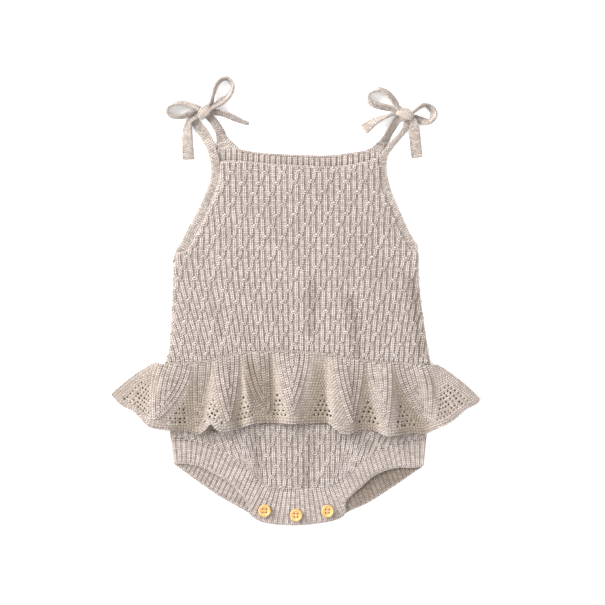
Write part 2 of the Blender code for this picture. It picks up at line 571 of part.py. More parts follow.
def peplum_point(table, waist, seam_x, depth):
    """Underside of the front peplum at a line of its flutes and a share of its depth."""
    hem_x, hem_y, hem_z = [np.interp(seam_x, table[:, 0], table[:, c]) for c in (1, 2, 3)]
    seam_y = np.interp(seam_x, waist[:, 0], waist[:, 1]) - SEAM_GAP / 2
    from_fold = min(seam_x - table[0, 0], table[-1, 0] - seam_x)
    seam_z = PEPLUM_FOLD + (PEPLUM_SEAM - PEPLUM_FOLD) * float(rounded(from_fold, PEPLUM_FOLD_ROUND))
    bow = PEPLUM_BOW * math.sin(math.pi * depth) * math.exp(-from_fold / PEPLUM_BOW_REACH)
    return np.array([seam_x + (hem_x - seam_x) * depth,
                     seam_y + (hem_y - seam_y) * depth + bow,
                     seam_z + (hem_z - seam_z) * depth ** 1.2])


def peplum():
    """The lace ruffle: leaf fans and plain wedges in front, and a flat back."""
    table = curve_through(FLUTES, FLUTE_STEP)
    waist = curve_through(WAIST, WAIST_STEP)
    lines = []
    for first, last, stem_hem in FANS:
        stem = np.interp(stem_hem, table[:, 1], table[:, 0])
        for rib in range(2 * FAN_RIBS - 1):
            share = rib / (2 * FAN_RIBS - 2)
            lines.append((first + (last - first) * share,
                          stem + FAN_STEM * (share - 0.5), FAN_RELIEF * (rib % 2 == 0)))
    ends = ((table[0, 0], table[0, 0], 0.0), (table[-1, 0], table[-1, 0], 0.0))
    lines = [ends[0], *lines, ends[1]]
    filled = []
    for here, there in zip(lines[:-1], lines[1:]):
        filled.append(here)
        gap = max(there[0] - here[0], there[1] - here[1])
        extra = int(gap / OPENWORK_STEP)
        for number in range(1, extra + 1):
            share = number / (extra + 1)
            filled.append((here[0] + (there[0] - here[0]) * share,
                           here[1] + (there[1] - here[1]) * share, 0.0))
    filled.append(lines[-1])
    rings = []
    for top, stem, relief in filled:
        outer, inner = [], []
        for number, depth in enumerate(FAN_ROWS):
            turn = min(depth / FAN_BOTTOM, 1.0) ** FAN_CURVE
            spot = peplum_point(table, waist, top + (stem - top) * turn, depth)
            full = RIM + (1 - RIM) * (0 < depth < 1)
            shown = relief * (0 < depth < FAN_BOTTOM + 0.01)
            outer.append(spot + (0, 0, LACE_KNIT * full + shown))
            if number % 2 == 0:
                inner.append(spot)
        rings.append(outer + inner[::-1])
    loft("front_peplum", rings)

    hem = curve_through(PEPLUM_BACK, HEM_STEP)
    seam = between(curve_through(WAIST, HEM_STEP), hem[0, 0] + 4, hem[-1, 0] - 4)
    outline = np.vstack([hem, shifted(seam, 0, -SEAM_GAP / 2)[::-1]])
    panel("back_peplum", outline, flat, LACE_KNIT)


def waist_welt():
    """The linked ridge of the waist seam, on the lower edge of the bodice."""
    path = between(curve_through(WAIST, HEM_STEP), *WELT_ENDS)
    loft("waist_welt", [[(x, y + above, PEPLUM_SEAM + height) for above, height in WELT]
                        for x, y in path])


clear_scene()
romper = bpy.data.collections.new("knitted_romper")
cutters = bpy.data.collections.new("cutters")
bpy.context.scene.collection.children.link(romper)
bpy.context.scene.collection.children.link(cutters)

bodice()
brief()
rib_bands()
peplum()
waist_welt()
band("front_strap_left", FRONT_STRAP_LEFT, 0.0, STRAP_STEP, TAPE_KNIT)
band("front_strap_right", FRONT_STRAP_RIGHT, 0.0, STRAP_STEP, TAPE_KNIT)
for tape_name, tape_rows in TAPES.items():
    tape(tape_name, tape_rows)
for knot_name, knot_sizes in KNOTS.items():
    knot(knot_name, *knot_sizes)
for button_name, (button_x, button_y) in BUTTONS.items():
    button(button_name, button_x, button_y)
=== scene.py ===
"""Knitted baby romper with tied shoulders and a lace peplum, laid flat with its front up.

Lengths are in millimetres unless a name says otherwise, as a knitter would give them. X runs
across the garment, Y from the crotch to the shoulders, and Z up from the surface.
"""
import math

import bmesh
import bpy
import numpy as np
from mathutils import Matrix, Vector, kdtree


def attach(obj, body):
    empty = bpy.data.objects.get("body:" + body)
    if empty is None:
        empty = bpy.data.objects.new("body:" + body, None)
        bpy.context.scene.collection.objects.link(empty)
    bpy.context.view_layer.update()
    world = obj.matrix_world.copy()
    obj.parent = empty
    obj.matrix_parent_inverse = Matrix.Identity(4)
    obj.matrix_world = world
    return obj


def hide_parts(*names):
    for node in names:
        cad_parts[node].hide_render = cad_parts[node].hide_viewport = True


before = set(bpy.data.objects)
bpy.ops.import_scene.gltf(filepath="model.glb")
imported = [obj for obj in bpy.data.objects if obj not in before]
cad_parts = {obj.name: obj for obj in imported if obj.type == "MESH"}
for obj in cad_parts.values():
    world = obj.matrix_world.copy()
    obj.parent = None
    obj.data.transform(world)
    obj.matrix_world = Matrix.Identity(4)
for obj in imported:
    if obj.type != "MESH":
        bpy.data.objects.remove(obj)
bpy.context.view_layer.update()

MM = 0.001

# ---------------------------------------------------------------- camera, floor and light
# The garment lies on a pale sweep and is photographed from straight above with a long
# lens, under a large soft light on its upper left and pale walls all round.
CAMERA_HEIGHT = 2600.0
PICTURE_SIDE = 590.2           # what the square picture takes in at the surface
PICTURE_MIDDLE = (6.9, -2.4)
SENSOR = 36.0


def add_object(name, data):
    """A new object in the scene that holds the data."""
    made = bpy.data.objects.new(name, data)
    bpy.context.scene.collection.objects.link(made)
    return made


lens = bpy.data.cameras.new("overhead_camera")
lens.sensor_width = SENSOR
lens.lens = SENSOR * CAMERA_HEIGHT / PICTURE_SIDE
lens.clip_end = 100.0
camera = add_object("overhead_camera", lens)
camera.location = (PICTURE_MIDDLE[0] * MM, PICTURE_MIDDLE[1] * MM, CAMERA_HEIGHT * MM)
bpy.context.scene.camera = camera
bpy.context.scene.view_settings.view_transform = "Standard"


def linear(code):
    """A colour given as sRGB hex, as linear light with alpha."""
    shares = [int(code[place:place + 2], 16) / 255 for place in (1, 3, 5)]
    return (*[c / 12.92 if c <= 0.04045 else ((c + 0.055) / 1.055) ** 2.4 for c in shares], 1.0)


def add_node(tree, kind, inputs=None, **settings):
    """Adds a node, sets its own settings, and sets or links its inputs."""
    made = tree.nodes.new(kind)
    for name, value in settings.items():
        setattr(made, name, value)
    for socket, value in (inputs or {}).items():
        if isinstance(value, bpy.types.NodeSocket):
            tree.links.new(value, made.inputs[socket])
        else:
            made.inputs[socket].default_value = value
    return made


def new_material(name, inputs):
    """A material with its Principled shader's inputs set, its node tree and the shader."""
    finish = bpy.data.materials.new(name)
    finish.use_nodes = True
    shader = finish.node_tree.nodes["Principled BSDF"]
    for socket, value in inputs.items():
        shader.inputs[socket].default_value = value
    return finish, finish.node_tree, shader


# The board is lit a little from below, as on a light table, so that it shows no shadow.
painted_board = new_material("matt_white_painted_board", {
    "Base Color": linear("#FCFCFB"), "Roughness": 0.9,
    "Emission Color": linear("#FFFFFF"), "Emission Strength": 0.2})[0]
FLOOR_HALF = 4.0               # in metres
floor_mesh = bpy.data.meshes.new("pale_board")
floor_mesh.from_pydata([(-FLOOR_HALF, -FLOOR_HALF, 0), (FLOOR_HALF, -FLOOR_HALF, 0),
                        (FLOOR_HALF, FLOOR_HALF, 0), (-FLOOR_HALF, FLOOR_HALF, 0)], [],
                       [(0, 1, 2, 3)])
floor_mesh.materials.append(painted_board)
pale_board = add_object("pale_board", floor_mesh)

# Soft boxes: place in metres, side in metres, power in watts.
SOFT_BOXES = {"key_box": ((-2.7, 1.5, 1.7), 2.4, 290.0),
              "fill_box": ((1.6, -1.2, 2.2), 1.8, 24.0)}
for box_name, (place, side, power) in SOFT_BOXES.items():
    lamp = bpy.data.lights.new(box_name, "AREA")
    lamp.shape = "SQUARE"
    lamp.size = side
    lamp.energy = power
    holder = add_object(box_name, lamp)
    holder.location = place
    holder.rotation_euler = (-Vector(place)).to_track_quat("-Z", "Y").to_euler()

sky = bpy.data.worlds.new("pale_room")
sky.use_nodes = True
sky_light = sky.node_tree.nodes["Background"].inputs
sky_light["Color"].default_value = linear("#FBFCFF")
sky_light["Strength"].default_value = 1.1
bpy.context.scene.world = sky

# ---------------------------------------------------------------- bodice
# Front and back of the bodice are knitted in cotton in ribs one stitch wide on a purl
# ground, in which every sixth row draws each third pair of ribs together, and are linked
# down their sides. It is open at the neck and the armholes.
BODY_KNIT = 2.0                # wall of the knit without its ribs
SEAM_GAP = 0.3
RIM = 0.3                      # share of the thickness that is left at an edge
RIM_ROUND = 2.2                # how far in from an edge the knit has its full thickness
FRONT_BASE = 3.1               # underside of the front over the back
FOLD_BASE = 2.3                # and where the front turns into the back
FOLD_ROUND = 4.0
LOFT = 1.2                     # how far air inside lifts the middle of the front
LOFT_REACH = 30.0
RIB_PITCH = 5.4
PINCH_ROW = 10.5               # from one row of pinches to the next
RIB_HALF = 1.7                 # half width of a rib
CREST_ROUND = 2.2              # how flat the top of a rib is
RIB_RELIEF = 0.9
PINCH_RELIEF = 0.15            # how much further two ribs stand out where they are pinched
# Stitches are drawn about half as large again as the real ones, so that they show.
WALE = 3.9                     # width of a stitch of the ribs
COURSE = 1.75                  # height of a stitch
YARN = 1.35                    # thickness of the knitted yarn
PURL_YARN = 1.3
# The purl stitches' shade between the ribs is painted into their colour.
PURL_SHADE = 0.05              # purl stitches lie this deep in shade between the ribs
RIB_SPLAY = 0.62               # turn of each half of a stitch out of the rib, in radians
GUTTER_DEPTH = 0.35
PINCH_REACH = (0.38, 0.3)      # how long above and below a pinch a rib bends, in rows
PINCH_DRAW = 0.28              # how far each of the two is drawn, in pitches
PINCH_HELD = 2.75              # ribs closer than this are held by a stitch wrapped round both
WRAP_LIFT = 0.45               # how far that stitch stands over the ribs
WRAP_SIZE = (0.85, 1.7)        # its width and length, in ordinary stitches
PINCH_NARROWS = 0.22           # how much narrower a pinched rib's own stitches are
NO_ROOM = 2.4                  # ribs closer than this have no purl stitch between them
PURL_WIDTHS = (0.3, 1.2)       # narrowest and widest that one is, in wales
PURL_HEIGHT = 0.9              # in courses
KNIT_LIFT = 0.1                # how far the stitches of a rib stand over it
CHAIN_COURSE = 1.9             # length of a stitch of a cast-off edge
FRONT_GRID = (260, 92)         # points across and up the front
TROUGH_BARE = 0.85             # share of a trough's depth below which its ground lies bare
STITCH_MARGIN = 0.8            # nearest that a stitch's middle comes to an edge
AHEAD = 0.4                    # how far on a rib is looked at to find which way it runs
SWAYS = [(1.1, 24.0), (0.4, 8.3)]  # height and reach of the waves that the rows lie in
# How wide apart the ribs lie at a height: y, share of the pitch.
SPREAD = [(-60.0, 0.97), (31.0, 1.0), (90.0, 1.09), (130.0, 1.09)]
LEAN_REACH = 115.0
LEAN_FROM = 31.0
# How the ribs lean by the left and the right side at a height: y, then x for each y.
LEAN = [(-64.0, 0.0, 0.0), (-50.0, -0.14, 0.05), (-30.0, -0.24, 0.12), (5.0, -0.24, 0.12),
        (22.0, -0.12, 0.06), (34.0, 0.0, 0.0), (46.0, 0.24, -0.14), (60.0, 0.24, -0.18),
        (75.0, 0.05, -0.1), (95.0, 0.0, 0.0), (140.0, -0.03, 0.03)]
BODICE_END = -100.8            # y under the peplum where the brief's lean takes over
# In the brief the ribs draw in towards the crotch: x, half width, lean; and y where it starts.
BRIEF_LEAN = [(-75.0, 30.0, -0.4), (85.0, 30.0, 0.4)]
BRIEF_LEAN_FROM = -118.0

NECK_FRONT = [(-73.0, 135.0), (-61.9, 135.6), (-39.4, 134.0), (-20.9, 132.2), (4.5, 130.8),
              (33.8, 129.9), (54.2, 131.8), (69.9, 135.4), (80.6, 139.2)]
NECK_BACK = [(-79.0, 148.0), (-62.8, 149.6), (-53.1, 146.6), (-29.7, 143.4), (4.5, 141.6),
             (33.8, 141.1), (54.2, 143.8), (66.0, 145.4), (76.4, 148.6), (84.6, 143.2)]
WAIST = [(-138.5, -60.8), (-130.5, -61.6), (-111.1, -62.8), (-84.3, -60.0), (-65.8, -54.6),
         (-44.3, -51.7), (-12.1, -50.7), (4.5, -51.4), (31.8, -53.7), (55.2, -58.2),
         (73.8, -60.5), (100.1, -62.4), (132.9, -63.9), (139.0, -63.0)]
# Sides of the front from the waist up to the neck: y, x on the left, x on the right.
FRONT_SIDES = [(-64.0, -131.2, 133.2), (-61.0, -130.5, 132.6), (-55.6, -126.7, 131.6),
               (-43.9, -123.6, 129.2), (-26.3, -122.3, 126.4), (-2.0, -120.6, 122.5),
               (21.5, -120.0, 120.1), (31.2, -119.8, 120.1), (42.9, -117.6, 120.0),
               (47.0, -117.0, 119.6), (48.6, -106.9, 111.0), (54.8, -102.0, 107.0),
               (65.1, -96.7, 101.4), (78.2, -89.4, 96.4), (89.9, -83.5, 90.2),
               (101.0, -79.4, 85.2), (108.0, -76.3, 83.4), (121.0, -73.2, 81.0),
               (136.0, -73.2, 80.4), (142.0, -73.2, 80.4)]
BACK_SIDES = [(-64.0, -130.4, 132.4), (-61.0, -129.7, 131.8), (-55.6, -125.9, 130.8),
              (-43.9, -122.8, 128.4), (-26.3, -121.5, 125.6), (-2.0, -119.8, 121.7),
              (31.2, -119.0, 119.3), (42.9, -116.8, 119.2), (50.7, -114.7, 118.5),
              (58.5, -109.8, 115.4), (68.3, -105.0, 109.5), (82.0, -97.2, 103.4),
              (93.7, -91.3, 97.8), (103.4, -87.4, 93.4), (111.2, -84.5, 91.0),
              (122.0, -81.5, 88.6), (135.6, -82.5, 88.6), (146.0, -80.0, 86.0),
              (150.0, -80.0, 84.6)]
# Soft ridges of the front, as it lies: x, y of both ends, half width, height.
RIDGES = [(-12.0, -128.0, -10.0, -182.0, 15.0, 1.0), (38.0, -135.0, 34.0, -180.0, 12.0, 0.9),
          (-70.0, 30.0, -58.0, -40.0, 26.0, 0.9), (52.0, 60.0, 66.0, -30.0, 26.0, 0.8),
          (-8.0, 105.0, 2.0, 20.0, 24.0, 0.8)]
# Soft troughs between them, a little lower and darkened with painted shade: x, y of both
# ends, half width, share of the full depth.
TROUGHS = [(-38.4, -133.7, -36.5, -173.7, 8.0, 0.5), (16.2, -136.6, 9.4, -183.4, 9.0, 0.45),
           # This one stands for the shadow under the raised hem of the peplum: its ground lies
           # bare, dark with painted shade.
           (-86.5, -124.5, -78.5, -127.0, 3.2, 1.0),
           (17.2, 14.6, 16.2, -29.3, 9.0, 0.45), (53.3, 0.0, 61.1, -50.7, 10.0, 0.55),
           (113.8, 19.5, 122.5, -50.7, 9.0, 0.6), (-76.5, -9.8, -71.6, -34.1, 7.0, 0.5)]
TROUGH_DEPTH = 0.9


def run_along(points):
    """How far along a line of points each of them is."""
    return np.concatenate([[0], np.cumsum(np.linalg.norm(np.diff(points, axis=0), axis=1))])


def read_off(rows, run, stops):
    """A table's rows at stops along its run."""
    return np.column_stack([np.interp(stops, run, column) for column in rows.T])


def curve_through(points, step):
    """Points a step apart on a smooth curve through a table's rows, of any width."""
    rows = np.array(points, dtype=float)
    ends = np.vstack([2 * rows[0] - rows[1], rows, 2 * rows[-1] - rows[-2]])
    dense = []
    for before, here, there, after in zip(ends, ends[1:], ends[2:], ends[3:]):
        for t in np.arange(0, 1, 0.125):
            dense.append(0.5 * (2 * here + (there - before) * t
                                + (2 * before - 5 * here + 4 * there - after) * t ** 2
                                + (3 * here - before - 3 * there + after) * t ** 3))
    dense = np.array([*dense, rows[-1]])
    run = run_along(dense[:, :2])
    return read_off(dense, run, np.linspace(0, run[-1], max(2, round(run[-1] / step) + 1)))


def distance_to(x, y, path):
    """How far each point is from a line of points, in plan."""
    nearest = np.full(np.shape(x), np.inf)
    for (x0, y0), (x1, y1) in zip(path[:-1], path[1:]):
        leg_x, leg_y = x1 - x0, y1 - y0
        share = ((x - x0) * leg_x + (y - y0) * leg_y) / max(leg_x ** 2 + leg_y ** 2, 1e-9)
        share = np.clip(share, 0, 1)
        nearest = np.minimum(nearest, np.hypot(x - x0 - share * leg_x, y - y0 - share * leg_y))
    return nearest


def rounded(distance, reach):
    """0 at an edge and 1 from a reach inwards, along a quarter round."""
    return np.sqrt(1 - (1 - np.clip(distance / reach, 0, 1)) ** 2)


def knit_thickness(from_edge, full, reach=RIM_ROUND, rim=RIM):
    """How thick a wall of knit is at a distance from its edge."""
    return full * (rim + (1 - rim) * rounded(from_edge, reach))


def soft_line(x, y, row):
    """Height of one soft ridge or trough at each point."""
    x0, y0, x1, y1, width, height = row
    return height * np.exp(-2 * (distance_to(x, y, [(x0, y0), (x1, y1)]) / width) ** 2)


def trough_share(x, y):
    """How deep in one of the soft troughs each point is, from 0 to 1."""
    return np.max([soft_line(x, y, row) for row in TROUGHS], axis=0)


def lofted(x, y, folds, loft):
    """How far each point is from the side folds, and how far air and ridges lift it."""
    away = np.minimum(*[distance_to(x, y, fold) for fold in folds])
    ridges = sum(soft_line(x, y, row) for row in RIDGES) - TROUGH_DEPTH * trough_share(x, y)
    return away, (loft + ridges) * rounded(away, LOFT_REACH)


def panel_grid(sides, bottom, top, columns, rows):
    """Points across and up a panel, between its two sides and its two ends."""
    sides = np.array(sides)
    low, high = np.mean(bottom[:, 1]), np.mean(top[:, 1])
    share = np.linspace(0, 1, rows)[:, None]
    level = low + (high - low) * share
    across = np.linspace(0, 1, columns)[None, :]
    left = np.interp(level, sides[:, 0], sides[:, 1])
    right = np.interp(level, sides[:, 0], sides[:, 2])
    x = left + (right - left) * across
    start = np.interp(x, bottom[:, 0], bottom[:, 1])
    end = np.interp(x, top[:, 0], top[:, 1])
    return x, start + (end - start) * share


def edge_distance(x, y):
    """How far each point of a grid is from the grid's own edge."""
    around = [(x[0], y[0]), (x[:, -1], y[:, -1]), (x[-1], y[-1]), (x[:, 0], y[:, 0])]
    nearest = np.full(x.shape, np.inf)
    for edge_x, edge_y in around:
        step = max(1, len(edge_x) // 40)
        path = list(zip(edge_x[::step], edge_y[::step])) + [(edge_x[-1], edge_y[-1])]
        nearest = np.minimum(nearest, distance_to(x, y, path))
    return nearest


lean_levels = np.linspace(LEAN[0][0], LEAN[-1][0], 120)
lean_sides = []
for side in (1, 2):
    slopes = np.interp(lean_levels, [row[0] for row in LEAN], [row[side] for row in LEAN])
    run = np.concatenate([[0], np.cumsum((slopes[1:] + slopes[:-1]) / 2)])
    run *= lean_levels[1] - lean_levels[0]
    lean_sides.append(run - np.interp(LEAN_FROM, lean_levels, run))


def leaned(x, y):
    """How far to the right a rib that belongs at x lies at a height."""
    bodice = np.where(x < 0, *[np.interp(y, lean_levels, run) for run in lean_sides])
    bodice = bodice * (np.abs(x) / LEAN_REACH) ** 1.2
    brief = sum(lean * np.exp(-((x - middle) / width) ** 2) for middle, width, lean in BRIEF_LEAN)
    wider = np.interp(y, *np.array(SPREAD).T) - 1
    brief = brief * np.minimum(y - BRIEF_LEAN_FROM, 0)
    return np.where(y > BODICE_END, bodice + x * wider, brief)


def row_sway(straight):
    """How far up a row of stitches lies at a rib."""
    return sum(height * np.sin(straight / reach) for height, reach in SWAYS)


def rib_frame(x, y):
    """Where a point would lie if the ribs stood straight and the rows lay level."""
    straight = x
    for _ in range(8):
        straight = x - leaned(straight, y)
    return straight, y - row_sway(straight)


def knit_frame(straight, level):
    """The way back, from straight ribs and level rows to the garment."""
    y = level + row_sway(straight)
    return straight + leaned(straight, y), y


def rib_places(y, first):
    """X at a height of three neighbouring ribs, and how near each is to a pinch.

    A rib is drawn to its left neighbour in one row of pinches and to its right one in the
    row before, and stands straight in every third row."""
    row = (first[1] - y) / PINCH_ROW
    places, near = [], []
    for rib in range(3):
        bends = []
        for later in (0, 1):
            away = (row + rib + later + 1.5) % 3 - 1.5
            away = np.where(away < 0, away / PINCH_REACH[0], away / PINCH_REACH[1])
            bends.append(np.cos(np.clip(away, -1, 1) * math.pi / 2) ** 2)
        places.append(first[0] + RIB_PITCH * (rib + 0.5 + PINCH_DRAW * (bends[1] - bends[0])))
        near.append(bends[0] + bends[1])
    return places, near


def crest(away):
    """Height of a rib at a distance from its middle, from 0 to 1."""
    return 1 - np.clip(away / RIB_HALF, 0, 1) ** CREST_ROUND


def lattice_relief(x, y, first):
    """Height of the pinched ribs over their purl ground."""
    x, y = rib_frame(x, y)
    span = 3 * RIB_PITCH
    best = np.zeros(np.shape(x))
    for place, near in zip(*rib_places(y, first)):
        away = np.abs((x - place + span / 2) % span - span / 2)
        best = np.maximum(best, crest(away) * (RIB_RELIEF + PINCH_RELIEF * near))
    return best


def worn_piece(name, mesh):
    """A visible piece of the garment, which moves with the root."""
    made = add_object(name, mesh)
    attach(made, "root")
    return made


def cloth_wall(name, outer, inner, gone=None, rib=None, fold=None):
    """A closed wall of cloth from the points of its two faces; gone marks cells cut out."""
    ahead, aside = outer[1:, :-1] - outer[:-1, :-1], outer[:-1, 1:] - outer[:-1, :-1]
    if (aside[..., 0] * ahead[..., 1] - aside[..., 1] * ahead[..., 0]).sum() < 0:
        outer, inner, gone, rib, fold = [None if part is None else part[:, ::-1]
                                         for part in (outer, inner, gone, rib, fold)]
    rows, columns = outer.shape[:2]
    number = np.arange(rows * columns).reshape(rows, columns)
    below = rows * columns
    kept = np.ones((rows - 1, columns - 1), dtype=bool) if gone is None else ~gone
    corners = np.stack([number[:-1, :-1], number[:-1, 1:], number[1:, 1:], number[1:, :-1]], -1)
    upper = corners[kept]
    edges = np.concatenate([upper[:, [side, (side + 1) % 4]] for side in range(4)])
    there = edges[:, 0] * below + edges[:, 1]
    back = edges[:, 1] * below + edges[:, 0]
    rim = edges[~np.isin(there, back)]
    wall = np.column_stack([rim[:, 1], rim[:, 0], rim[:, 0] + below, rim[:, 1] + below])
    faces = np.concatenate([upper, upper[:, ::-1] + below, wall])
    points = np.concatenate([outer.reshape(-1, 3), inner.reshape(-1, 3)])
    used = np.unique(faces)
    renumber = np.zeros(len(points), dtype=int)
    renumber[used] = np.arange(len(used))
    mesh = bpy.data.meshes.new(name)
    mesh.from_pydata((points[used] * MM).tolist(), [], renumber[faces].tolist())
    mesh.shade_smooth()
    # rib and fold carry painted shade into the ground's colour; the inner face gets 0 for both.
    for label, values in (("rib", rib), ("fold", fold)):
        if values is not None:
            values = np.concatenate([values.ravel(), values.ravel() * 0])[used]
            mesh.attributes.new(label, "FLOAT", "POINT").data.foreach_set(
                "value", values.astype(np.float32))
    mesh.materials.append(oatmeal_ground)
    return worn_piece(name, mesh)


def frozen(name, carrier, *spares):
    """The mesh that an object's modifiers give it; the objects behind it are taken away."""
    ready = carrier.evaluated_get(bpy.context.evaluated_depsgraph_get())
    mesh = bpy.data.meshes.new_from_object(ready)
    mesh.name = name
    for spare in (carrier, *spares):
        bpy.data.objects.remove(spare)
    return mesh


LOBE_SIDES = 4
# Length and width of half a knit stitch and its place, in courses and wales.
LOBE_LENGTH, LOBE_WIDTH, LOBE_ASIDE = 1.38, 0.56, 0.22
PURL_LENGTH = 0.95
UNEVENNESS = 0.1               # how far a stitch may turn, in radians
SEED = 3


def stitch_tree():
    """Geometry nodes that set a knit stitch, or a purl bump, on each point they are given."""
    group = bpy.data.node_groups.new("knit_stitches", "GeometryNodeTree")
    sockets = {}
    for name, kind, value in (("Places", "Geometry", None), ("Wale width", "Float", WALE * MM),
                              ("Course height", "Float", COURSE * MM),
                              ("Yarn thickness", "Float", YARN * MM), ("Splay", "Float", 0.5),
                              ("Purl side", "Bool", False), ("Yarn", "Material", None)):
        made = group.interface.new_socket(name=name, in_out="INPUT",
                                          socket_type="NodeSocket" + kind)
        if value is not None:
            made.default_value = value
        sockets[name] = made.identifier
    group.interface.new_socket(name="Knit", in_out="OUTPUT", socket_type="NodeSocketGeometry")
    given = add_node(group, "NodeGroupInput").outputs
    wale, course, yarn = [given[label] for label in ("Wale width", "Course height",
                                                     "Yarn thickness")]

    def first(kind, inputs=None, **settings):
        """The first output of a new node."""
        return add_node(group, kind, inputs, **settings).outputs[0]

    def scaled(value, by):
        return first("ShaderNodeMath", {0: value, 1: by}, operation="MULTIPLY")

    def vector(x, y, z):
        return first("ShaderNodeCombineXYZ", {0: x, 1: y, 2: z})

    # A spindle of yarn along Y with one side down, and how far up each point of it is, which the
    # yarn's colour uses for painted shade at a lobe's foot.
    spindle = first("GeometryNodeMeshUVSphere", {"Segments": LOBE_SIDES, "Rings": 3,
                                                 "Radius": 0.5})
    laid = first("GeometryNodeTransform", {
        "Geometry": spindle, "Rotation": (math.pi / 2, -math.pi / 2, 0)})
    up = add_node(group, "ShaderNodeSeparateXYZ", {
        0: first("GeometryNodeInputPosition")}).outputs["Z"]
    crown = first("ShaderNodeMapRange", {"Value": up, "From Min": -0.25, "From Max": 0.43})
    lobe = first("GeometryNodeStoreNamedAttribute", {
        "Geometry": laid, "Name": "crown", "Value": crown}, data_type="FLOAT", domain="POINT")

    knit = add_node(group, "GeometryNodeJoinGeometry")
    shape = vector(scaled(wale, LOBE_WIDTH), scaled(course, LOBE_LENGTH), yarn)
    for side in (-1, 1):
        half = first("GeometryNodeTransform", {
            "Geometry": lobe, "Scale": shape,
            "Rotation": vector(0.0, 0.0, scaled(given["Splay"], -side)),
            "Translation": vector(scaled(wale, side * LOBE_ASIDE), 0.0, 0.0)})
        group.links.new(half, knit.inputs[0])
    purl = first("GeometryNodeTransform", {
        "Geometry": lobe, "Scale": vector(scaled(course, PURL_LENGTH), wale, yarn),
        "Rotation": (0, 0, math.pi / 2)})
    stitch = first("GeometryNodeSwitch", {
        "Switch": given["Purl side"], "False": knit.outputs[0], "True": purl},
        input_type="GEOMETRY")
    along, face, size = [first("GeometryNodeInputNamedAttribute", {"Name": label},
                               data_type="FLOAT_VECTOR") for label in ("along", "face", "size")]
    turn = first("FunctionNodeAxesToRotation", {0: along, 1: face}, primary_axis="Y",
                 secondary_axis="Z")
    placed = first("GeometryNodeInstanceOnPoints", {
        "Points": given["Places"], "Instance": stitch, "Rotation": turn, "Scale": size})
    wobble = first("FunctionNodeRandomValue", {
        "Min": (-UNEVENNESS,) * 3, "Max": (UNEVENNESS,) * 3, "Seed": SEED},
        data_type="FLOAT_VECTOR")
    uneven = first("GeometryNodeRotateInstances", {"Instances": placed, "Rotation": wobble})
    tone = add_node(group, "FunctionNodeRandomValue", {"Seed": SEED},
                    data_type="FLOAT").outputs[1]
    toned = first("GeometryNodeStoreNamedAttribute", {
        "Geometry": uneven, "Name": "tone", "Value": tone}, data_type="FLOAT",
        domain="INSTANCE")
    real = first("GeometryNodeRealizeInstances", {0: toned})
    smooth = first("GeometryNodeSetShadeSmooth", {0: real})
    add_node(group, "NodeGroupOutput", {0: first("GeometryNodeSetMaterial", {
        "Geometry": smooth, "Material": given["Yarn"]})})
    return group, sockets


STITCHES, STITCH_SOCKETS = stitch_tree()


def knit_stitches(name, spots, along, finish, face=(0, 0, 1), size=1.0, fold_at=0.0, **sizes):
    """Stitches on places in millimetres, each lying along the knitting and facing out.

    How much painted shade of a fold they carry is given as a number or as a function of the
    places."""
    places = bpy.data.meshes.new(name + "_places")
    places.from_pydata((np.asarray(spots) * MM).tolist(), [], [])
    for label, values in (("along", along), ("face", face), ("size", size)):
        values = np.broadcast_to(np.asarray(values, dtype=float), (len(spots), 3))
        places.attributes.new(label, "FLOAT_VECTOR", "POINT").data.foreach_set(
            "vector", values.astype(np.float32).ravel())
    fold = fold_at(spots) if callable(fold_at) else np.full(len(spots), fold_at)
    places.attributes.new("fold", "FLOAT", "POINT").data.foreach_set(
        "value", fold.astype(np.float32))
    carrier = add_object(name + "_places", places)
    modifier = carrier.modifiers.new("stitches", "NODES")
    modifier.node_group = STITCHES
    modifier[STITCH_SOCKETS["Yarn"]] = finish
    for label, value in sizes.items():
        modifier[STITCH_SOCKETS[label.replace("_", " ").capitalize()]] = value
    return worn_piece(name, frozen(name, carrier))


def attribute(tree, label):
    """What a mesh carries under a label, for a material."""
    return add_node(tree, "ShaderNodeAttribute", attribute_name=label).outputs["Fac"]


def colour_ramp(tree, value, low, low_hex, high, high_hex):
    """The colour that a value gives between two colours, each at its own value."""
    ramp = add_node(tree, "ShaderNodeValToRGB", {"Fac": value})
    for stop, place, code in ((0, low, low_hex), (1, high, high_hex)):
        ramp.color_ramp.elements[stop].position = place
        ramp.color_ramp.elements[stop].color = linear(code)
    return ramp.outputs["Color"]


def add_bump(tree, shader, height, strength, depth):
    """Raises a finish by a height, up to a depth in metres."""
    bump = add_node(tree, "ShaderNodeBump", {"Height": height, "Strength": strength,
                                             "Distance": depth})
    tree.links.new(bump.outputs["Normal"], shader.inputs["Normal"])


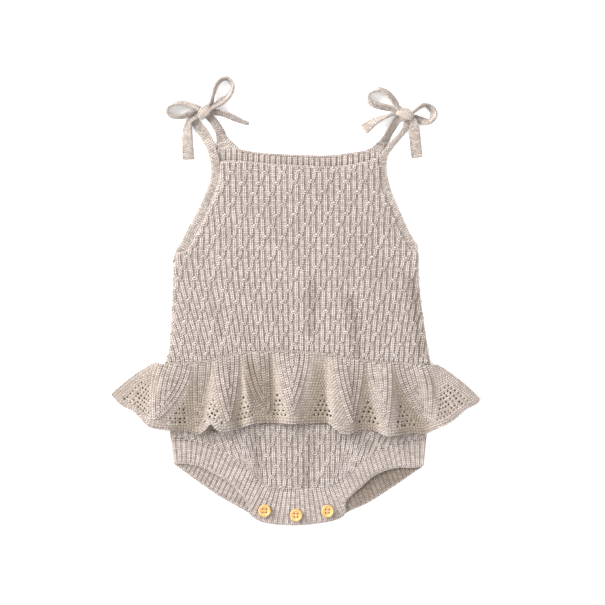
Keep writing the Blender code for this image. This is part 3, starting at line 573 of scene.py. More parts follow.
def cotton_yarn(name, dark, light, foot):
    """Combed cotton, undyed: matt, a little hairy, and uneven in tone from stitch to stitch.

    It carries painted shade at the foot of its lobes (crown) and in the bottom of a fold (fold)."""
    finish, tree, shader = new_material(name, {
        "Roughness": 0.92, "Sheen Weight": 0.2, "Sheen Roughness": 0.6,
        "Specular IOR Level": 0.2})
    grain = add_node(tree, "ShaderNodeTexCoord").outputs["Object"]
    patches = add_node(tree, "ShaderNodeTexNoise", {"Vector": grain, "Scale": 55.0,
                                                    "Detail": 3.0})
    mixed = add_node(tree, "ShaderNodeMath", {
        0: attribute(tree, "tone"), 1: patches.outputs["Fac"]}, operation="MULTIPLY").outputs[0]
    colour = colour_ramp(tree, mixed, 0.02, dark, 0.45, light)
    # Painted shade: towards the third colour at the foot of each lobe, and towards olive deep in
    # a fold.
    for label, ramp in (("crown", (0.15, foot, 0.9, "#FFFFFF")),
                        ("fold", (0.1, "#FFFFFF", 1.0, "#BEB5A6"))):
        shade = colour_ramp(tree, attribute(tree, label), *ramp)
        colour = add_node(tree, "ShaderNodeMix", {0: 1.0, 6: colour, 7: shade},
                          data_type="RGBA", blend_type="MULTIPLY").outputs[2]
    tree.links.new(colour, shader.inputs["Base Color"])
    # Fibres 0.02 mm thick are too fine to show: they are drawn 0.25 mm apart.
    fibres = add_node(tree, "ShaderNodeTexNoise", {"Vector": grain, "Scale": 2600.0,
                                                   "Detail": 2.0})
    add_bump(tree, shader, fibres.outputs["Fac"], 0.35, 0.0003)
    return finish


# Darkest and lightest tone, then the painted shade at the foot of a lobe.
oatmeal_yarn = cotton_yarn("oatmeal_combed_cotton_yarn", "#A2968F", "#BEB3AE", "#AA9F92")
tape_yarn = cotton_yarn("oatmeal_cotton_tape_yarn", "#A0958D", "#C8BDB6", "#82776A")

# The ground between the stitches has its courses as bump only. Its colour is painted shade:
# the yarn's, darker under the stitches, darker still in gutters (rib) and in folds (fold).
oatmeal_ground, tree, shader = new_material("oatmeal_purl_ground", {
    "Roughness": 0.95, "Sheen Weight": 0.15, "Specular IOR Level": 0.2})
grain = add_node(tree, "ShaderNodeTexCoord").outputs["Object"]
depth = colour_ramp(tree, attribute(tree, "rib"), 0.0, "#9C9084", 1.0, "#B0A498")
shaded = add_node(tree, "ShaderNodeMix", {
    0: attribute(tree, "fold"), 6: depth, 7: linear("#7A7062")}, data_type="RGBA").outputs[2]
tree.links.new(shaded, shader.inputs["Base Color"])
courses = add_node(tree, "ShaderNodeTexWave", {
    "Vector": grain, "Scale": 1000.0 / COURSE / 20, "Distortion": 2.0, "Detail": 1.0,
    "Detail Scale": 4.0}, bands_direction="Y")
add_bump(tree, shader, courses.outputs["Fac"], 0.5, 0.0004)


def part_between(line, left, right):
    """The points of a line between two x."""
    return line[(line[:, 0] > left) & (line[:, 0] < right)]


def side_folds(rows):
    """The lines along which a front turns into its back, from its table of sides."""
    return [[(row[side], row[0]) for row in rows] for side in (1, 2)]


def knit_panel(name, x, y, under, ribs, fold=None):
    """A wall of knit on a grid of points, ribs outside, with painted shade in gutters and folds.
    """
    edge = edge_distance(x, y)
    relief = ribs * rounded(edge, RIM_ROUND)
    over = under + knit_thickness(edge, BODY_KNIT) - GUTTER_DEPTH + relief
    return cloth_wall(name, np.stack([x, y, over], -1), np.stack([x, y, under], -1),
                      rib=np.clip(relief / RIB_RELIEF, 0, 1), fold=fold)


LATTICE_START = (3.8, 125.0)   # x and y that ribs and rows of pinches are counted from
ARMHOLE_ROW = 10               # rows of FRONT_SIDES below the armhole
waist = curve_through(WAIST, 4.0)
waist_seam = part_between(waist, -132, 134) + (0, SEAM_GAP / 2)
neck = curve_through(NECK_FRONT, 4.0)
bodice_folds = side_folds(FRONT_SIDES[:ARMHOLE_ROW])


def bodice_underside(x, y):
    """Underside of the front: low along the side folds and lofted in the middle."""
    away, lift = lofted(x, y, bodice_folds, LOFT)
    return FOLD_BASE + (FRONT_BASE - FOLD_BASE) * rounded(away, FOLD_ROUND) + lift


x, y = panel_grid(FRONT_SIDES, waist_seam, neck, *FRONT_GRID)
bodice_front = knit_panel("bodice_front", x, y, bodice_underside(x, y),
                          lattice_relief(x, y, LATTICE_START), trough_share(x, y))


def within(x, y, outline):
    """Whether each point lies inside a closed outline."""
    odd = np.zeros(len(x), dtype=bool)
    for (x0, y0), (x1, y1) in zip(outline, np.roll(outline, -1, axis=0)):
        if y0 != y1:
            odd ^= ((y0 > y) != (y1 > y)) & (x < (x1 - x0) * (y - y0) / (y1 - y0) + x0)
    return odd


def rib_stitches(name, grid_x, grid_y, underside, first, top=math.inf):
    """A column of knit stitches along each pinched rib of a panel, and purl ones between."""
    around = [(grid_x[0], grid_y[0]), (grid_x[:, -1], grid_y[:, -1]),
              (grid_x[-1, ::-1], grid_y[-1, ::-1]), (grid_x[::-1, 0], grid_y[::-1, 0])]
    outline = np.concatenate([np.column_stack(side)[::3] for side in around])
    levels = np.arange(grid_y.min() - 3, min(grid_y.max() + 3, top), COURSE)
    places, near = rib_places(levels, first)
    ahead = rib_places(levels + AHEAD, first)[0]
    turns = np.arange(-16, 16) * 3 * RIB_PITCH
    rib_x, slopes, pinched = [np.concatenate([part[:, None] + turns * moved for part in parts],
                                             axis=1)
                              for parts, moved in ((places, 1),
                                                   (np.subtract(ahead, places) / AHEAD, 0),
                                                   (near, 0))]
    between = np.sort(rib_x, axis=1)
    gap = np.diff(between, axis=1)
    made = []
    for kind in ("knit", "purl"):
        if kind == "knit":
            straight, slope = rib_x, slopes
            lift = pinched * PINCH_RELIEF + RIB_RELIEF + KNIT_LIFT
            size = np.ones((rib_x.size, 3))
            size[:, 0] = 1 - PINCH_NARROWS * pinched.ravel()
        else:
            held = gap < PINCH_HELD
            straight, slope = between[:, :-1] + gap / 2, 0 * gap
            lift = np.where(held, RIB_RELIEF + PINCH_RELIEF + WRAP_LIFT, 0.0)
            size = np.ones((gap.size, 3))
            wide = np.clip((gap - NO_ROOM) / WALE, 0.0, PURL_WIDTHS[1])
            size[:, 0] = np.where(held, WRAP_SIZE[0], wide).ravel()
            size[:, 1] = np.where(held, WRAP_SIZE[1], PURL_HEIGHT).ravel()
        level = np.broadcast_to(levels[:, None], straight.shape)
        spots_x, spots_y = [part.ravel() for part in knit_frame(straight, level)]
        next_x, next_y = [part.ravel() for part in knit_frame(straight + slope * AHEAD,
                                                               level + AHEAD)]
        along = np.column_stack([next_x - spots_x, next_y - spots_y, 0 * spots_x])
        kept = within(spots_x, spots_y, outline) & (size[:, 0] > PURL_WIDTHS[0])
        # Stitches are left off deep in a trough, so that the ground's painted shade shows there.
        kept &= trough_share(spots_x, spots_y) < TROUGH_BARE
        away = distance_to(spots_x[kept], spots_y[kept], np.vstack([outline, outline[:1]]))
        kept[kept] = away > STITCH_MARGIN
        away = away[away > STITCH_MARGIN]
        height = (underside(spots_x[kept], spots_y[kept]) + knit_thickness(away, BODY_KNIT)
                  - GUTTER_DEPTH + lift.ravel()[kept] * rounded(away, RIM_ROUND))
        spots = np.column_stack([spots_x[kept], spots_y[kept], height])
        # Painted shade: purl stitches a little, and every stitch as deep as it lies in a trough.
        shaded = PURL_SHADE * (kind == "purl")
        made.append(knit_stitches(
            name + "_" + kind, spots, along[kept], oatmeal_yarn, size=size[kept],
            fold_at=lambda spots: np.maximum(trough_share(*spots[:, :2].T), shaded),
            purl_side=kind == "purl", yarn_thickness=(PURL_YARN if shaded else YARN) * MM,
            splay=RIB_SPLAY, wale_width=WALE * MM))
    return made


bodice_stitches = rib_stitches("bodice_front", x, y, bodice_underside, LATTICE_START)


def knit_wales(name, routes, finish=oatmeal_yarn, faces=None, course=COURSE, widths=None,
               **sizes):
    """Columns of knit stitches along routes of x, y, z, each facing up or its own way."""
    spots, along, outward, size = [], [], [], []
    faces = faces or [(0, 0, 1)] * len(routes)
    for number, (route, face) in enumerate(zip(routes, faces)):
        route = np.asarray(route, dtype=float)
        run = run_along(route)
        stops = (np.arange(int(run[-1] / course)) + 0.5) * course
        if len(stops) == 0:
            continue
        face = np.broadcast_to(np.asarray(face, dtype=float), route.shape)
        wide = np.ones(len(run)) if widths is None else widths[number]
        wide = np.column_stack([wide, 0 * wide + 1, 0 * wide + 1])
        for given, wanted in ((route, spots), (np.gradient(route, run, axis=0), along),
                              (face, outward), (wide, size)):
            wanted.append(read_off(given, run, stops))
    return knit_stitches(name, np.concatenate(spots), np.concatenate(along), finish,
                         np.concatenate(outward), np.concatenate(size),
                         course_height=course * MM, **sizes)


def laid_on(path, height):
    """A route of x, y, z from one of x, y and its height, or a function that gives that."""
    height = height(*path.T) if callable(height) else height
    return np.column_stack([path, np.broadcast_to(height, len(path))])


def cast_off(name, edge, height):
    """The chain of stitches along a neck, a little inside its edge."""
    route = laid_on(curve_through(edge[1:-1] - (0, 0.9), 2.0), height)
    return knit_wales(name, [route], course=CHAIN_COURSE, wale_width=0.0024)


neck_chain = cast_off("neck_cast_off", neck, lambda x, y: bodice_underside(x, y) + BODY_KNIT)
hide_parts("front_bodice")

# ---------------------------------------------------------------- bodice back and its neck
# The back of the bodice is the same knit and is linked to the front at both sides. It
# reaches higher, so that its plain ribbed neck stands above the front's in the opening.
NECK_RIBS_FROM = 122.0
BACK_GRID = (200, 60)
neck_back = curve_through(NECK_BACK, 4.0)
x, y = panel_grid(BACK_SIDES, waist_seam, neck_back, *BACK_GRID)
away = np.abs((x + RIB_PITCH / 2) % RIB_PITCH - RIB_PITCH / 2)
ribs = RIB_RELIEF * crest(away) * np.clip((y - NECK_RIBS_FROM) / 3, 0, 1)
bodice_back = knit_panel("bodice_back", x, y, 0 * x, ribs)
routes = []
for rib_x in np.arange(-14, 16) * RIB_PITCH:
    low = np.interp(rib_x, neck[:, 0], neck[:, 1]) - 4
    high = np.interp(rib_x, neck_back[:, 0], neck_back[:, 1]) - 1.2
    if neck_back[0, 0] < rib_x < neck_back[-1, 0] - 2:
        routes.append([(rib_x, low, 2.5), (rib_x, high, 2.5)])
back_neck_ribs = knit_wales("back_neck_ribs", routes)
back_neck_chain = cast_off("back_neck_cast_off", neck_back, BODY_KNIT)
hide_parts("back_bodice")


# ---------------------------------------------------------------- waist seam
# Bodice, brief and peplum are linked together in one row of loops, which stands out in
# front as a thin ridge on the bodice's lower edge.
PEPLUM_SEAM = 7.4              # underside of the front of the peplum at its seam
WELT_ENDS = (-124.0, 128.0)
WELT_MIDDLE = (1.2, 0.3)       # above the seam line, and above the peplum's seam
WELT_HALF = (1.1, 0.8)


def tube(name, rings, finish, closed=False):
    """A skin round rings of points, capped at both ends or joined end to end."""
    rings = np.asarray(rings, dtype=float)
    count, around = rings.shape[:2]
    faces = []
    for row in range(count if closed else count - 1):
        for side in range(around):
            after, ahead = (side + 1) % around, (row + 1) % count
            faces.append((row * around + side, row * around + after,
                          ahead * around + after, ahead * around + side))
    if not closed:
        faces.append(tuple(range(around))[::-1])
        faces.append(tuple(range((count - 1) * around, count * around)))
    mesh = bpy.data.meshes.new(name)
    mesh.from_pydata((rings.reshape(-1, 3) * MM).tolist(), [], faces)
    shape = bmesh.new()
    shape.from_mesh(mesh)
    bmesh.ops.recalc_face_normals(shape, faces=shape.faces)
    shape.to_mesh(mesh)
    shape.free()
    mesh.shade_smooth()
    mesh.materials.append(finish)
    return worn_piece(name, mesh)


def turns_of(count):
    """Angles evenly spaced round a circle."""
    return np.linspace(0, 2 * math.pi, count, endpoint=False)


seam_line = part_between(curve_through(WAIST, 1.2), *WELT_ENDS)
rings = [[(x, y + WELT_MIDDLE[0] + WELT_HALF[0] * math.cos(t),
           PEPLUM_SEAM + WELT_MIDDLE[1] + WELT_HALF[1] * math.sin(t)) for t in turns_of(10)]
         for x, y in seam_line]
waist_ridge = tube("waist_ridge", rings, oatmeal_yarn)
waist_chain = knit_wales("waist_linking", [laid_on(
    seam_line + (0, WELT_MIDDLE[0] - 0.4), PEPLUM_SEAM + 0.9)], course=CHAIN_COURSE,
    wale_width=0.0021, yarn_thickness=0.001, fold_at=0.15)
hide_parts("waist_welt")


# ---------------------------------------------------------------- armhole edgings and ties
# A plain knitted strip is linked round each armhole of the front and runs on past the
# shoulder as the front end of the tie.
TAPE_KNIT = 2.0
TAPE_SUNK = 0.4                # how far the tape's wall lies below its stitches
STRAP_WALES = 4                # drawn coarser than the real six, so that they show
STRAP_WIDTH = 9.0
PATH_STEP = 1.4                # from point to point along it
STRAP_LINKED = (45.0, 134.0)   # y between which a strap is linked to the armhole
# Outer x, y, inner x, y, underside.
FRONT_STRAP_LEFT = [(-119.6, 36.5, -118.9, 36.3, 2.3), (-118.3, 43.6, -113.2, 41.8, 2.3),
                    (-115.5, 50.7, -107.2, 47.8, 2.3), (-110.6, 58.5, -102.3, 55.1, 2.6),
                    (-105.8, 68.3, -97.0, 65.4, 3.1), (-98.0, 82.0, -89.7, 78.5, 3.1),
                    (-92.1, 93.7, -83.8, 90.2, 3.1), (-85.3, 111.2, -76.5, 108.3, 3.1),
                    (-82.3, 122.0, -73.6, 121.0, 3.1), (-83.3, 135.6, -73.8, 135.0, 3.1),
                    (-86.2, 146.3, -77.4, 147.6, 2.8), (-89.6, 153.2, -81.0, 157.1, 2.0),
                    (-95.0, 162.4, -86.7, 167.4, 1.0), (-100.7, 171.4, -94.0, 175.9, 1.0),
                    (-98.6, 177.0, -92.2, 179.6, 1.0)]
FRONT_STRAP_RIGHT = [(119.9, 50.2, 117.6, 47.6, 2.3),
                     (119.3, 53.7, 111.3, 49.8, 2.3), (116.2, 57.6, 107.9, 53.7, 2.6),
                     (110.8, 66.3, 102.5, 62.9, 3.1), (105.0, 79.0, 96.7, 75.6, 3.1),
                     (98.6, 93.7, 90.3, 90.7, 3.1), (94.2, 103.4, 85.5, 101.0, 3.1),
                     (90.3, 117.1, 81.6, 115.6, 3.1), (88.8, 128.8, 80.6, 129.4, 3.1),
                     (89.7, 139.5, 81.4, 139.6, 3.1), (93.3, 145.4, 86.9, 147.3, 2.8),
                     (99.6, 153.7, 93.8, 155.1, 1.8), (106.0, 161.0, 100.1, 161.9, 0.8),
                     (109.9, 165.9, 103.5, 167.3, 0.6), (111.6, 172.4, 105.6, 173.6, 0.3),
                     (110.8, 178.0, 105.2, 178.6, 1.4)]


def band_path(rows, step):
    """Inner x, y and outer x, y, and what else a table gives, along a band's middle."""
    table = np.array(rows)
    middle = (table[:, :2] + table[:, 2:4]) / 2
    return curve_through(np.column_stack([middle, table]), step)[:, 2:]


def band_wall(name, path, base, thickness, relief=0.0, columns=13, fold=0.0):
    """A band between a path's two edges, with ribs across it and painted shade of gutters and
    fold.
    """
    share = np.linspace(0, 1, columns)[None, :, None]
    first, last = path[:, None, 0:2], path[:, None, 2:4]
    spots = first + (last - first) * share
    width = np.hypot(*(path[:, 2:4] - path[:, 0:2]).T)[:, None]
    from_edge = np.minimum(share[..., 0], 1 - share[..., 0]) * width
    under, relief, fold = [np.broadcast_to(np.reshape(part, (-1, 1)), from_edge.shape)
                           for part in (base, relief, fold)]
    top = (under + knit_thickness(from_edge, thickness, RIM_ROUND / 2)
           + relief * rounded(from_edge, RIM_ROUND))
    return cloth_wall(name, np.dstack([spots, top]), np.dstack([spots, under]),
                      rib=np.clip(relief / 0.8, 0, 1), fold=fold)


for strap_name, rows in (("front_strap_left", FRONT_STRAP_LEFT),
                         ("front_strap_right", FRONT_STRAP_RIGHT)):
    path = band_path(rows, PATH_STEP)
    outer, inner, base = path[:, 0:2], path[:, 2:4], path[:, 4]
    strap = band_wall(strap_name + "_tape", path, base, TAPE_KNIT - TAPE_SUNK)
    # Its own wales, the outer two a little lower, and two that are linked to the bodice: how
    # far over the strap's inner edge, in its widths, and how low each lies.
    routes = []
    for wale in range(STRAP_WALES):
        share = (wale + 0.5) / STRAP_WALES * 0.92 + 0.03
        low = 0.7 if wale in (0, STRAP_WALES - 1) else 0.35
        routes.append(laid_on(outer + (inner - outer) * share, base + TAPE_KNIT - low))
    linked = (path[:, 1] > STRAP_LINKED[0]) & (path[:, 1] < STRAP_LINKED[1])
    for over, low in ((0.03, 0.4), (0.18, 0.1)):
        routes.append(laid_on(inner + (inner - outer) * over, base + TAPE_KNIT - low)[linked])
    width = np.clip(np.hypot(*(inner - outer).T) / STRAP_WIDTH, 0.2, 2)
    stitches = knit_wales(strap_name + "_stitches", routes, tape_yarn, course=2.3,
                          wale_width=0.0025, yarn_thickness=0.0016, splay=0.6,
                          widths=[width] * STRAP_WALES + [width[linked] * 0 + 0.85] * 2)
    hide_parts(strap_name)


# ---------------------------------------------------------------- brief
# The brief goes on from the bodice below the waist seam, in the same pinched ribs in
# front. Its back lies on the table and bears the front, which is hollow in between.
BRIEF_LOFT = 0.6
PEPLUM_LAYER = 2.1             # the flat back of the peplum lies under the brief
PEPLUM_LAYER_END = -140.0
PEPLUM_LAYER_FALL = 14.0
EDGING_GAP = 0.4
BRIEF_LATTICE = (2.7, -119.0)
BRIEF_RIBS_FROM = -112.0       # under the peplum above this
BRIEF_SIDES = [(-134.6, -121.9, 127.8), (-124.0, -125.8, 128.0), (-95.0, -127.5, 130.0),
               (-61.8, -129.6, 131.3)]
# Inner x, y and outer x, y of the rib bands along their fans of ribs.
FRONT_BAND = [(-121.4, -135.0, -118.8, -159.4), (-106.7, -136.1, -106.7, -159.3),
              (-89.2, -140.5, -94.0, -161.9), (-72.6, -147.3, -80.4, -168.3),
              (-56.3, -156.8, -65.9, -177.1), (-45.3, -168.0, -54.0, -188.8),
              (-36.5, -176.6, -46.6, -198.5), (-30.6, -180.9, -44.7, -207.8),
              (-24.0, -183.4, -35.5, -215.4), (-14.0, -185.0, -20.9, -218.5),
              (0.6, -185.4, 0.6, -219.5), (18.1, -184.9, 24.0, -217.4),
              (28.9, -183.4, 38.6, -214.4), (35.7, -180.9, 47.9, -208.8),
              (41.6, -177.5, 48.6, -197.1), (49.4, -171.2, 56.7, -187.8),
              (59.1, -163.9, 65.4, -180.5), (68.9, -156.1, 73.8, -172.7),
              (80.6, -147.8, 86.4, -166.3), (97.2, -142.4, 101.1, -162.9),
              (112.8, -137.6, 114.7, -163.3), (127.4, -134.6, 124.9, -161.5)]
BACK_BAND = [(-121.4, -135.0, -118.8, -159.4), (-102.8, -142.4, -109.7, -166.3),
             (-86.2, -153.2, -97.0, -175.6), (-68.7, -164.9, -79.4, -187.9),
             (-51.1, -175.6, -61.9, -198.3), (-39.4, -181.4, -50.1, -204.9),
             (-30.6, -184.0, -43.7, -208.8), (-17.9, -185.9, -30.6, -214.6),
             (0.6, -186.4, 0.6, -217.6), (20.0, -185.9, 32.8, -213.7),
             (32.8, -183.9, 46.7, -208.8), (42.6, -180.4, 54.3, -204.9),
             (59.1, -171.7, 70.8, -197.6), (76.7, -160.5, 88.4, -186.6),
             (94.2, -149.8, 105.0, -175.4), (110.8, -140.0, 115.7, -167.8),
             (127.4, -134.6, 124.9, -161.5)]


def on_back_peplum(x, y):
    """Height that the flat back of the peplum gives to the brief that lies on it."""
    past = np.clip((y - PEPLUM_LAYER_END) / PEPLUM_LAYER_FALL, 0, 1)
    return PEPLUM_LAYER * past * past * (3 - 2 * past)


brief_folds = side_folds(BRIEF_SIDES)


def brief_underside(x, y):
    """Underside of the front of the brief."""
    return FOLD_BASE + lofted(x, y, brief_folds, BRIEF_LOFT)[1] + on_back_peplum(x, y)


brief_waist = part_between(waist, -129, 131) - (0, SEAM_GAP / 2)
for label, rows, height, columns in (("brief_front", FRONT_BAND, brief_underside, 250),
                                     ("brief_back", BACK_BAND, on_back_peplum, 90)):
    band_edge = curve_through(np.array(rows)[:, :2], 4.0) + (0, EDGING_GAP)
    x, y = panel_grid(BRIEF_SIDES, band_edge, brief_waist, columns, 52)
    ribs = 0 * x
    if label == "brief_front":
        ribs = lattice_relief(x, y, BRIEF_LATTICE) * np.clip((BRIEF_RIBS_FROM - y) / 4, 0, 1)
    knit_panel(label, x, y, height(x, y), ribs, trough_share(x, y))
    if label == "brief_front":
        brief_stitches = rib_stitches(label, x, y, height, BRIEF_LATTICE, BRIEF_RIBS_FROM - 1)
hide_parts("front_brief")
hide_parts("back_brief")


# ---------------------------------------------------------------- leg and crotch bands
# A band of ribs one stitch wide is knitted on round each leg and on across the crotch, in
# front and behind; the front crotch closes over the back one with the buttons.
BAND_PITCH = 4.8
BAND_RELIEF = 0.8


def front_band_shade(spots):
    """How much painted shade the front band carries."""
    return np.full(len(spots), 0.12)


def leg_opening_shade(spots):
    """How much painted shade the back band carries: it shows in the leg openings, darker at
    right.
    """
    return np.interp(spots[:, 0], [40, 60], [0.3, 0.9])


for label, rows, base, shade in (("front_rib_band", FRONT_BAND, FRONT_BASE, front_band_shade),
                                 ("back_rib_band", BACK_BAND, 0.0, leg_opening_shade)):
    coarse = len(band_path(rows, BAND_PITCH / 2))
    path = band_path(rows, 0.8)
    place = np.linspace(0, coarse - 1, len(path))
    wave = BAND_RELIEF * (0.5 - 0.5 * np.cos(math.pi * place))
    wall = band_wall(label + "_knit", path, base, BODY_KNIT - 0.35, wave, 15, shade(path))
    routes, gutters = [], []
    for number in range(1, coarse - 1):
        row = np.array([np.interp(number, place, column) for column in path.T[:4]])
        inner, outer = row[:2], row[2:]
        way = (outer - inner) / np.hypot(*(outer - inner))
        # From just inside the band's outer edge to its inner edge, which a rib runs over.
        ends = np.array([outer - way * 1.5, inner - way * 2.6])
        rib = number % 2
        (routes if rib else gutters).append(
            laid_on(ends, base + BODY_KNIT + (0.35 if rib else -0.2)))
    ribs = knit_wales(label + "_ribs", routes, wale_width=0.0034, fold_at=shade)
    purls = knit_wales(label + "_purls", gutters, purl_side=True, wale_width=0.0026,
                       yarn_thickness=0.0013, fold_at=shade)
    rim = path[:, 2:4] + (path[:, 0:2] - path[:, 2:4]) * 0.035
    chain = knit_wales(label + "_cast_off", [laid_on(rim, base + BODY_KNIT - 0.3)[3:-3]],
                       course=CHAIN_COURSE, wale_width=0.0023)
    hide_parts(label)


# ---------------------------------------------------------------- peplum
# A frill of knitted lace is gathered into the waist seam all round: fans of ribs that run
# together towards the hem, and between them wedges with eyelets above a plain hem. In
# front it stands in flutes, and its back lies flat under the brief.
LACE_KNIT = 1.8
LACE_RIM = 0.35                # share of its thickness at an edge
PEPLUM_FOLD = 2.2              # underside where the front turns into the back
PEPLUM_FOLD_ROUND = 7.0
PEPLUM_BOW = 2.5               # how far its side folds round out
PEPLUM_BOW_REACH = 3.0
FAN_BOTTOM = 0.87              # share of the depth at which a fan's ribs have met
FAN_STEM = 3.4                 # width of a fan where its ribs have met
FAN_CURVE = 1.65               # how late the ribs of a fan turn in
FAN_RIB = 4.5                  # pitch of the ribs of a fan
FAN_RELIEF = 0.7
LACE_DEPTH = 60.0              # about how deep the frill is
LACE_COURSE = 2.3
LACE_WALE = 2.7                # from one purl stitch to the next along a row
LACE_GRID = 1.15               # widest cell of its wall across the fans
LACE_ROWS = 52
LACE_SUNK = 0.3                # how far its wall lies below its stitches
HALF_RIBS = 7                  # most ribs on each side of a fan
EYELET = 1.1                   # radius of an eyelet
EYELET_PITCH = 4.2
EYELETS = (0.89, 0.45)         # shares of the depth that eyelets reach from and to
EYELETS_WIDE = (9, 5)          # most in the lowest row of a tip, and of another wedge
EYELET_MARGIN = 4.5            # what a row of eyelets leaves free of its wedge
EYELET_CLEAR = 1.5             # nearest that a stitch's middle comes to an eyelet's
# Flutes: x at the seam, x and y at the hem, underside at the hem.
FLUTES = [(-137.0, -179.9, -91.2, 2.2), (-135.0, -170.1, -101.5, 5.0),
          (-132.1, -158.4, -107.3, 9.0), (-128.2, -150.6, -114.2, 12.0),
          (-122.3, -141.9, -122.9, 15.0), (-112.6, -127.2, -125.9, 13.0),
          (-104.8, -114.5, -126.3, 10.0), (-98.9, -104.8, -127.0, 9.2),
          (-92.1, -95.5, -130.7, 10.5), (-87.2, -88.2, -126.5, 12.5),
          (-82.3, -82.0, -119.8, 16.0), (-76.5, -75.5, -125.4, 17.5),
          (-70.6, -68.7, -127.3, 15.5), (-58.0, -55.0, -124.5, 9.2),
          (-50.1, -46.2, -121.5, 13.5), (-43.3, -37.5, -119.3, 10.5),
          (-36.5, -24.8, -119.0, 9.2), (-27.7, -18.9, -119.0, 9.5),
          (-12.1, -10.1, -119.5, 15.5), (-2.3, -3.3, -120.0, 16.0),
          (7.4, 6.4, -119.5, 11.5), (18.1, 19.1, -119.3, 9.2),
          (27.9, 29.9, -118.8, 9.2), (33.8, 34.7, -120.6, 15.5),
          (39.6, 40.6, -125.9, 17.5), (48.4, 50.3, -129.8, 15.5),
          (57.2, 59.1, -126.8, 10.5), (64.0, 66.0, -125.4, 9.2),
          (71.8, 76.7, -126.3, 10.5), (82.5, 88.4, -131.7, 16.0),
          (88.4, 95.2, -131.2, 14.5), (96.2, 105.0, -130.2, 10.0),
          (103.0, 114.7, -128.9, 9.2), (109.9, 125.5, -129.3, 9.8),
          (118.6, 138.1, -123.9, 15.0), (123.5, 147.4, -120.0, 13.0),
          (128.4, 156.3, -114.1, 9.5), (132.3, 165.2, -106.4, 7.0),
          (136.2, 177.2, -100.2, 4.0), (138.1, 180.1, -95.6, 2.2)]
# Leaf fans: x of the first and the last rib at the seam, x of the stem at the hem.
FANS = [(-132.0, -100.5, -138.9), (-98.5, -82.0, -96.0), (-79.5, -54.5, -64.8),
        (-51.5, -26.0, -25.8), (-19.9, 13.5, -3.3), (36.7, 66.5, 55.2),
        (69.5, 93.5, 89.4), (96.5, 127.0, 131.3)]
PEPLUM_BACK = [(-136.4, -62.2), (-145.0, -67.0), (-160.0, -78.2), (-176.2, -90.6),
               (-168.0, -99.0), (-154.0, -106.5), (-141.0, -115.0), (-120.0, -119.0),
               (-80.0, -118.0), (0.0, -116.5), (80.0, -118.0), (124.0, -121.0),
               (146.0, -116.0), (162.0, -105.0), (176.4, -96.4), (168.0, -88.0),
               (154.6, -77.4), (137.4, -65.6)]

flutes = curve_through(FLUTES, 2.0)


def peplum_spot(seam_x, depth):
    """Underside of the front of the peplum at a line of its flutes and a share of its depth."""
    hem_x, hem_y, hem_z = [np.interp(seam_x, flutes[:, 0], flutes[:, c]) for c in (1, 2, 3)]
    seam_y = np.interp(seam_x, waist[:, 0], waist[:, 1]) - SEAM_GAP / 2
    from_fold = np.minimum(seam_x - flutes[0, 0], flutes[-1, 0] - seam_x)
    seam_z = PEPLUM_FOLD + (PEPLUM_SEAM - PEPLUM_FOLD) * rounded(from_fold, PEPLUM_FOLD_ROUND)
    bow = PEPLUM_BOW * np.sin(math.pi * depth) * np.exp(-from_fold / PEPLUM_BOW_REACH)
    slack = 0.75 + 1.2 * np.clip((14.0 - hem_z) / 4, 0, 1)
    return np.stack([seam_x + (hem_x - seam_x) * depth,
                     seam_y + (hem_y - seam_y) * depth + bow,
                     seam_z + (hem_z - seam_z) * np.maximum(depth, 0) ** slack], -1)


def fan_line(top, stem, depth):
    """Underside along a line that starts at the seam and turns in towards a stem."""
    turn = np.clip(depth / FAN_BOTTOM, 0, 1) ** FAN_CURVE
    return peplum_spot(top + (stem - top) * turn, depth)


def between(here, there, share):
    """Top and stem of a line at a share of the way from one border to another."""
    return [start + (end - start) * share for start, end in zip(here, there)]


# Borders of the fans, and so of the wedges between them: x at the seam of the line that each
# starts on and of the line that it ends on.
borders = [(flutes[0, 0], flutes[0, 0])]
for first, last, stem_hem in FANS:
    stem = np.interp(stem_hem, flutes[:, 1], flutes[:, 0])
    borders += [(first, stem - FAN_STEM / 2), (last, stem + FAN_STEM / 2)]
borders.append((flutes[-1, 0], flutes[-1, 0]))
strips = list(zip(borders[:-1], borders[1:]))      # wedge, fan, wedge and so on


def strip_width(here, there, levels):
    """How wide a fan or a wedge is at each share of the depth."""
    return np.linalg.norm(fan_line(*there, levels) - fan_line(*here, levels), axis=1)


depths = np.linspace(0, 1, LACE_ROWS)
widths = [strip_width(*strip, depths) for strip in strips]
lines = []
for number, strip in enumerate(strips):
    count = max(2, int(widths[number].max() / LACE_GRID))
    for step in range(count):
        lines.append((*between(*strip, step / count), step / count, number))
lines.append((*borders[-1], 1.0, len(strips) - 1))
tops, stems, shares, kinds = np.array(lines).T
kinds = kinds.astype(int)
under = fan_line(tops[None, :], stems[None, :], depths[:, None])
from_side = np.minimum(shares, 1 - shares)[None, :] * np.array(widths)[kinds].T
is_fan = (kinds % 2 == 1)[None, :]
rise = 1 - np.abs(2 * ((from_side / FAN_RIB) % 1) - 1) ** 4
fade = np.clip((FAN_BOTTOM - depths) / 0.05, 0, 1)[:, None]
relief = FAN_RELIEF * rise * is_fan * fade * rounded(depths * LACE_DEPTH, RIM_ROUND)[:, None]
from_end = np.minimum(depths, 1 - depths)[:, None] * LACE_DEPTH
thick = knit_thickness(from_end, LACE_KNIT, rim=LACE_RIM) - LACE_SUNK
outer = under + np.dstack([0 * relief, 0 * relief, thick + relief])

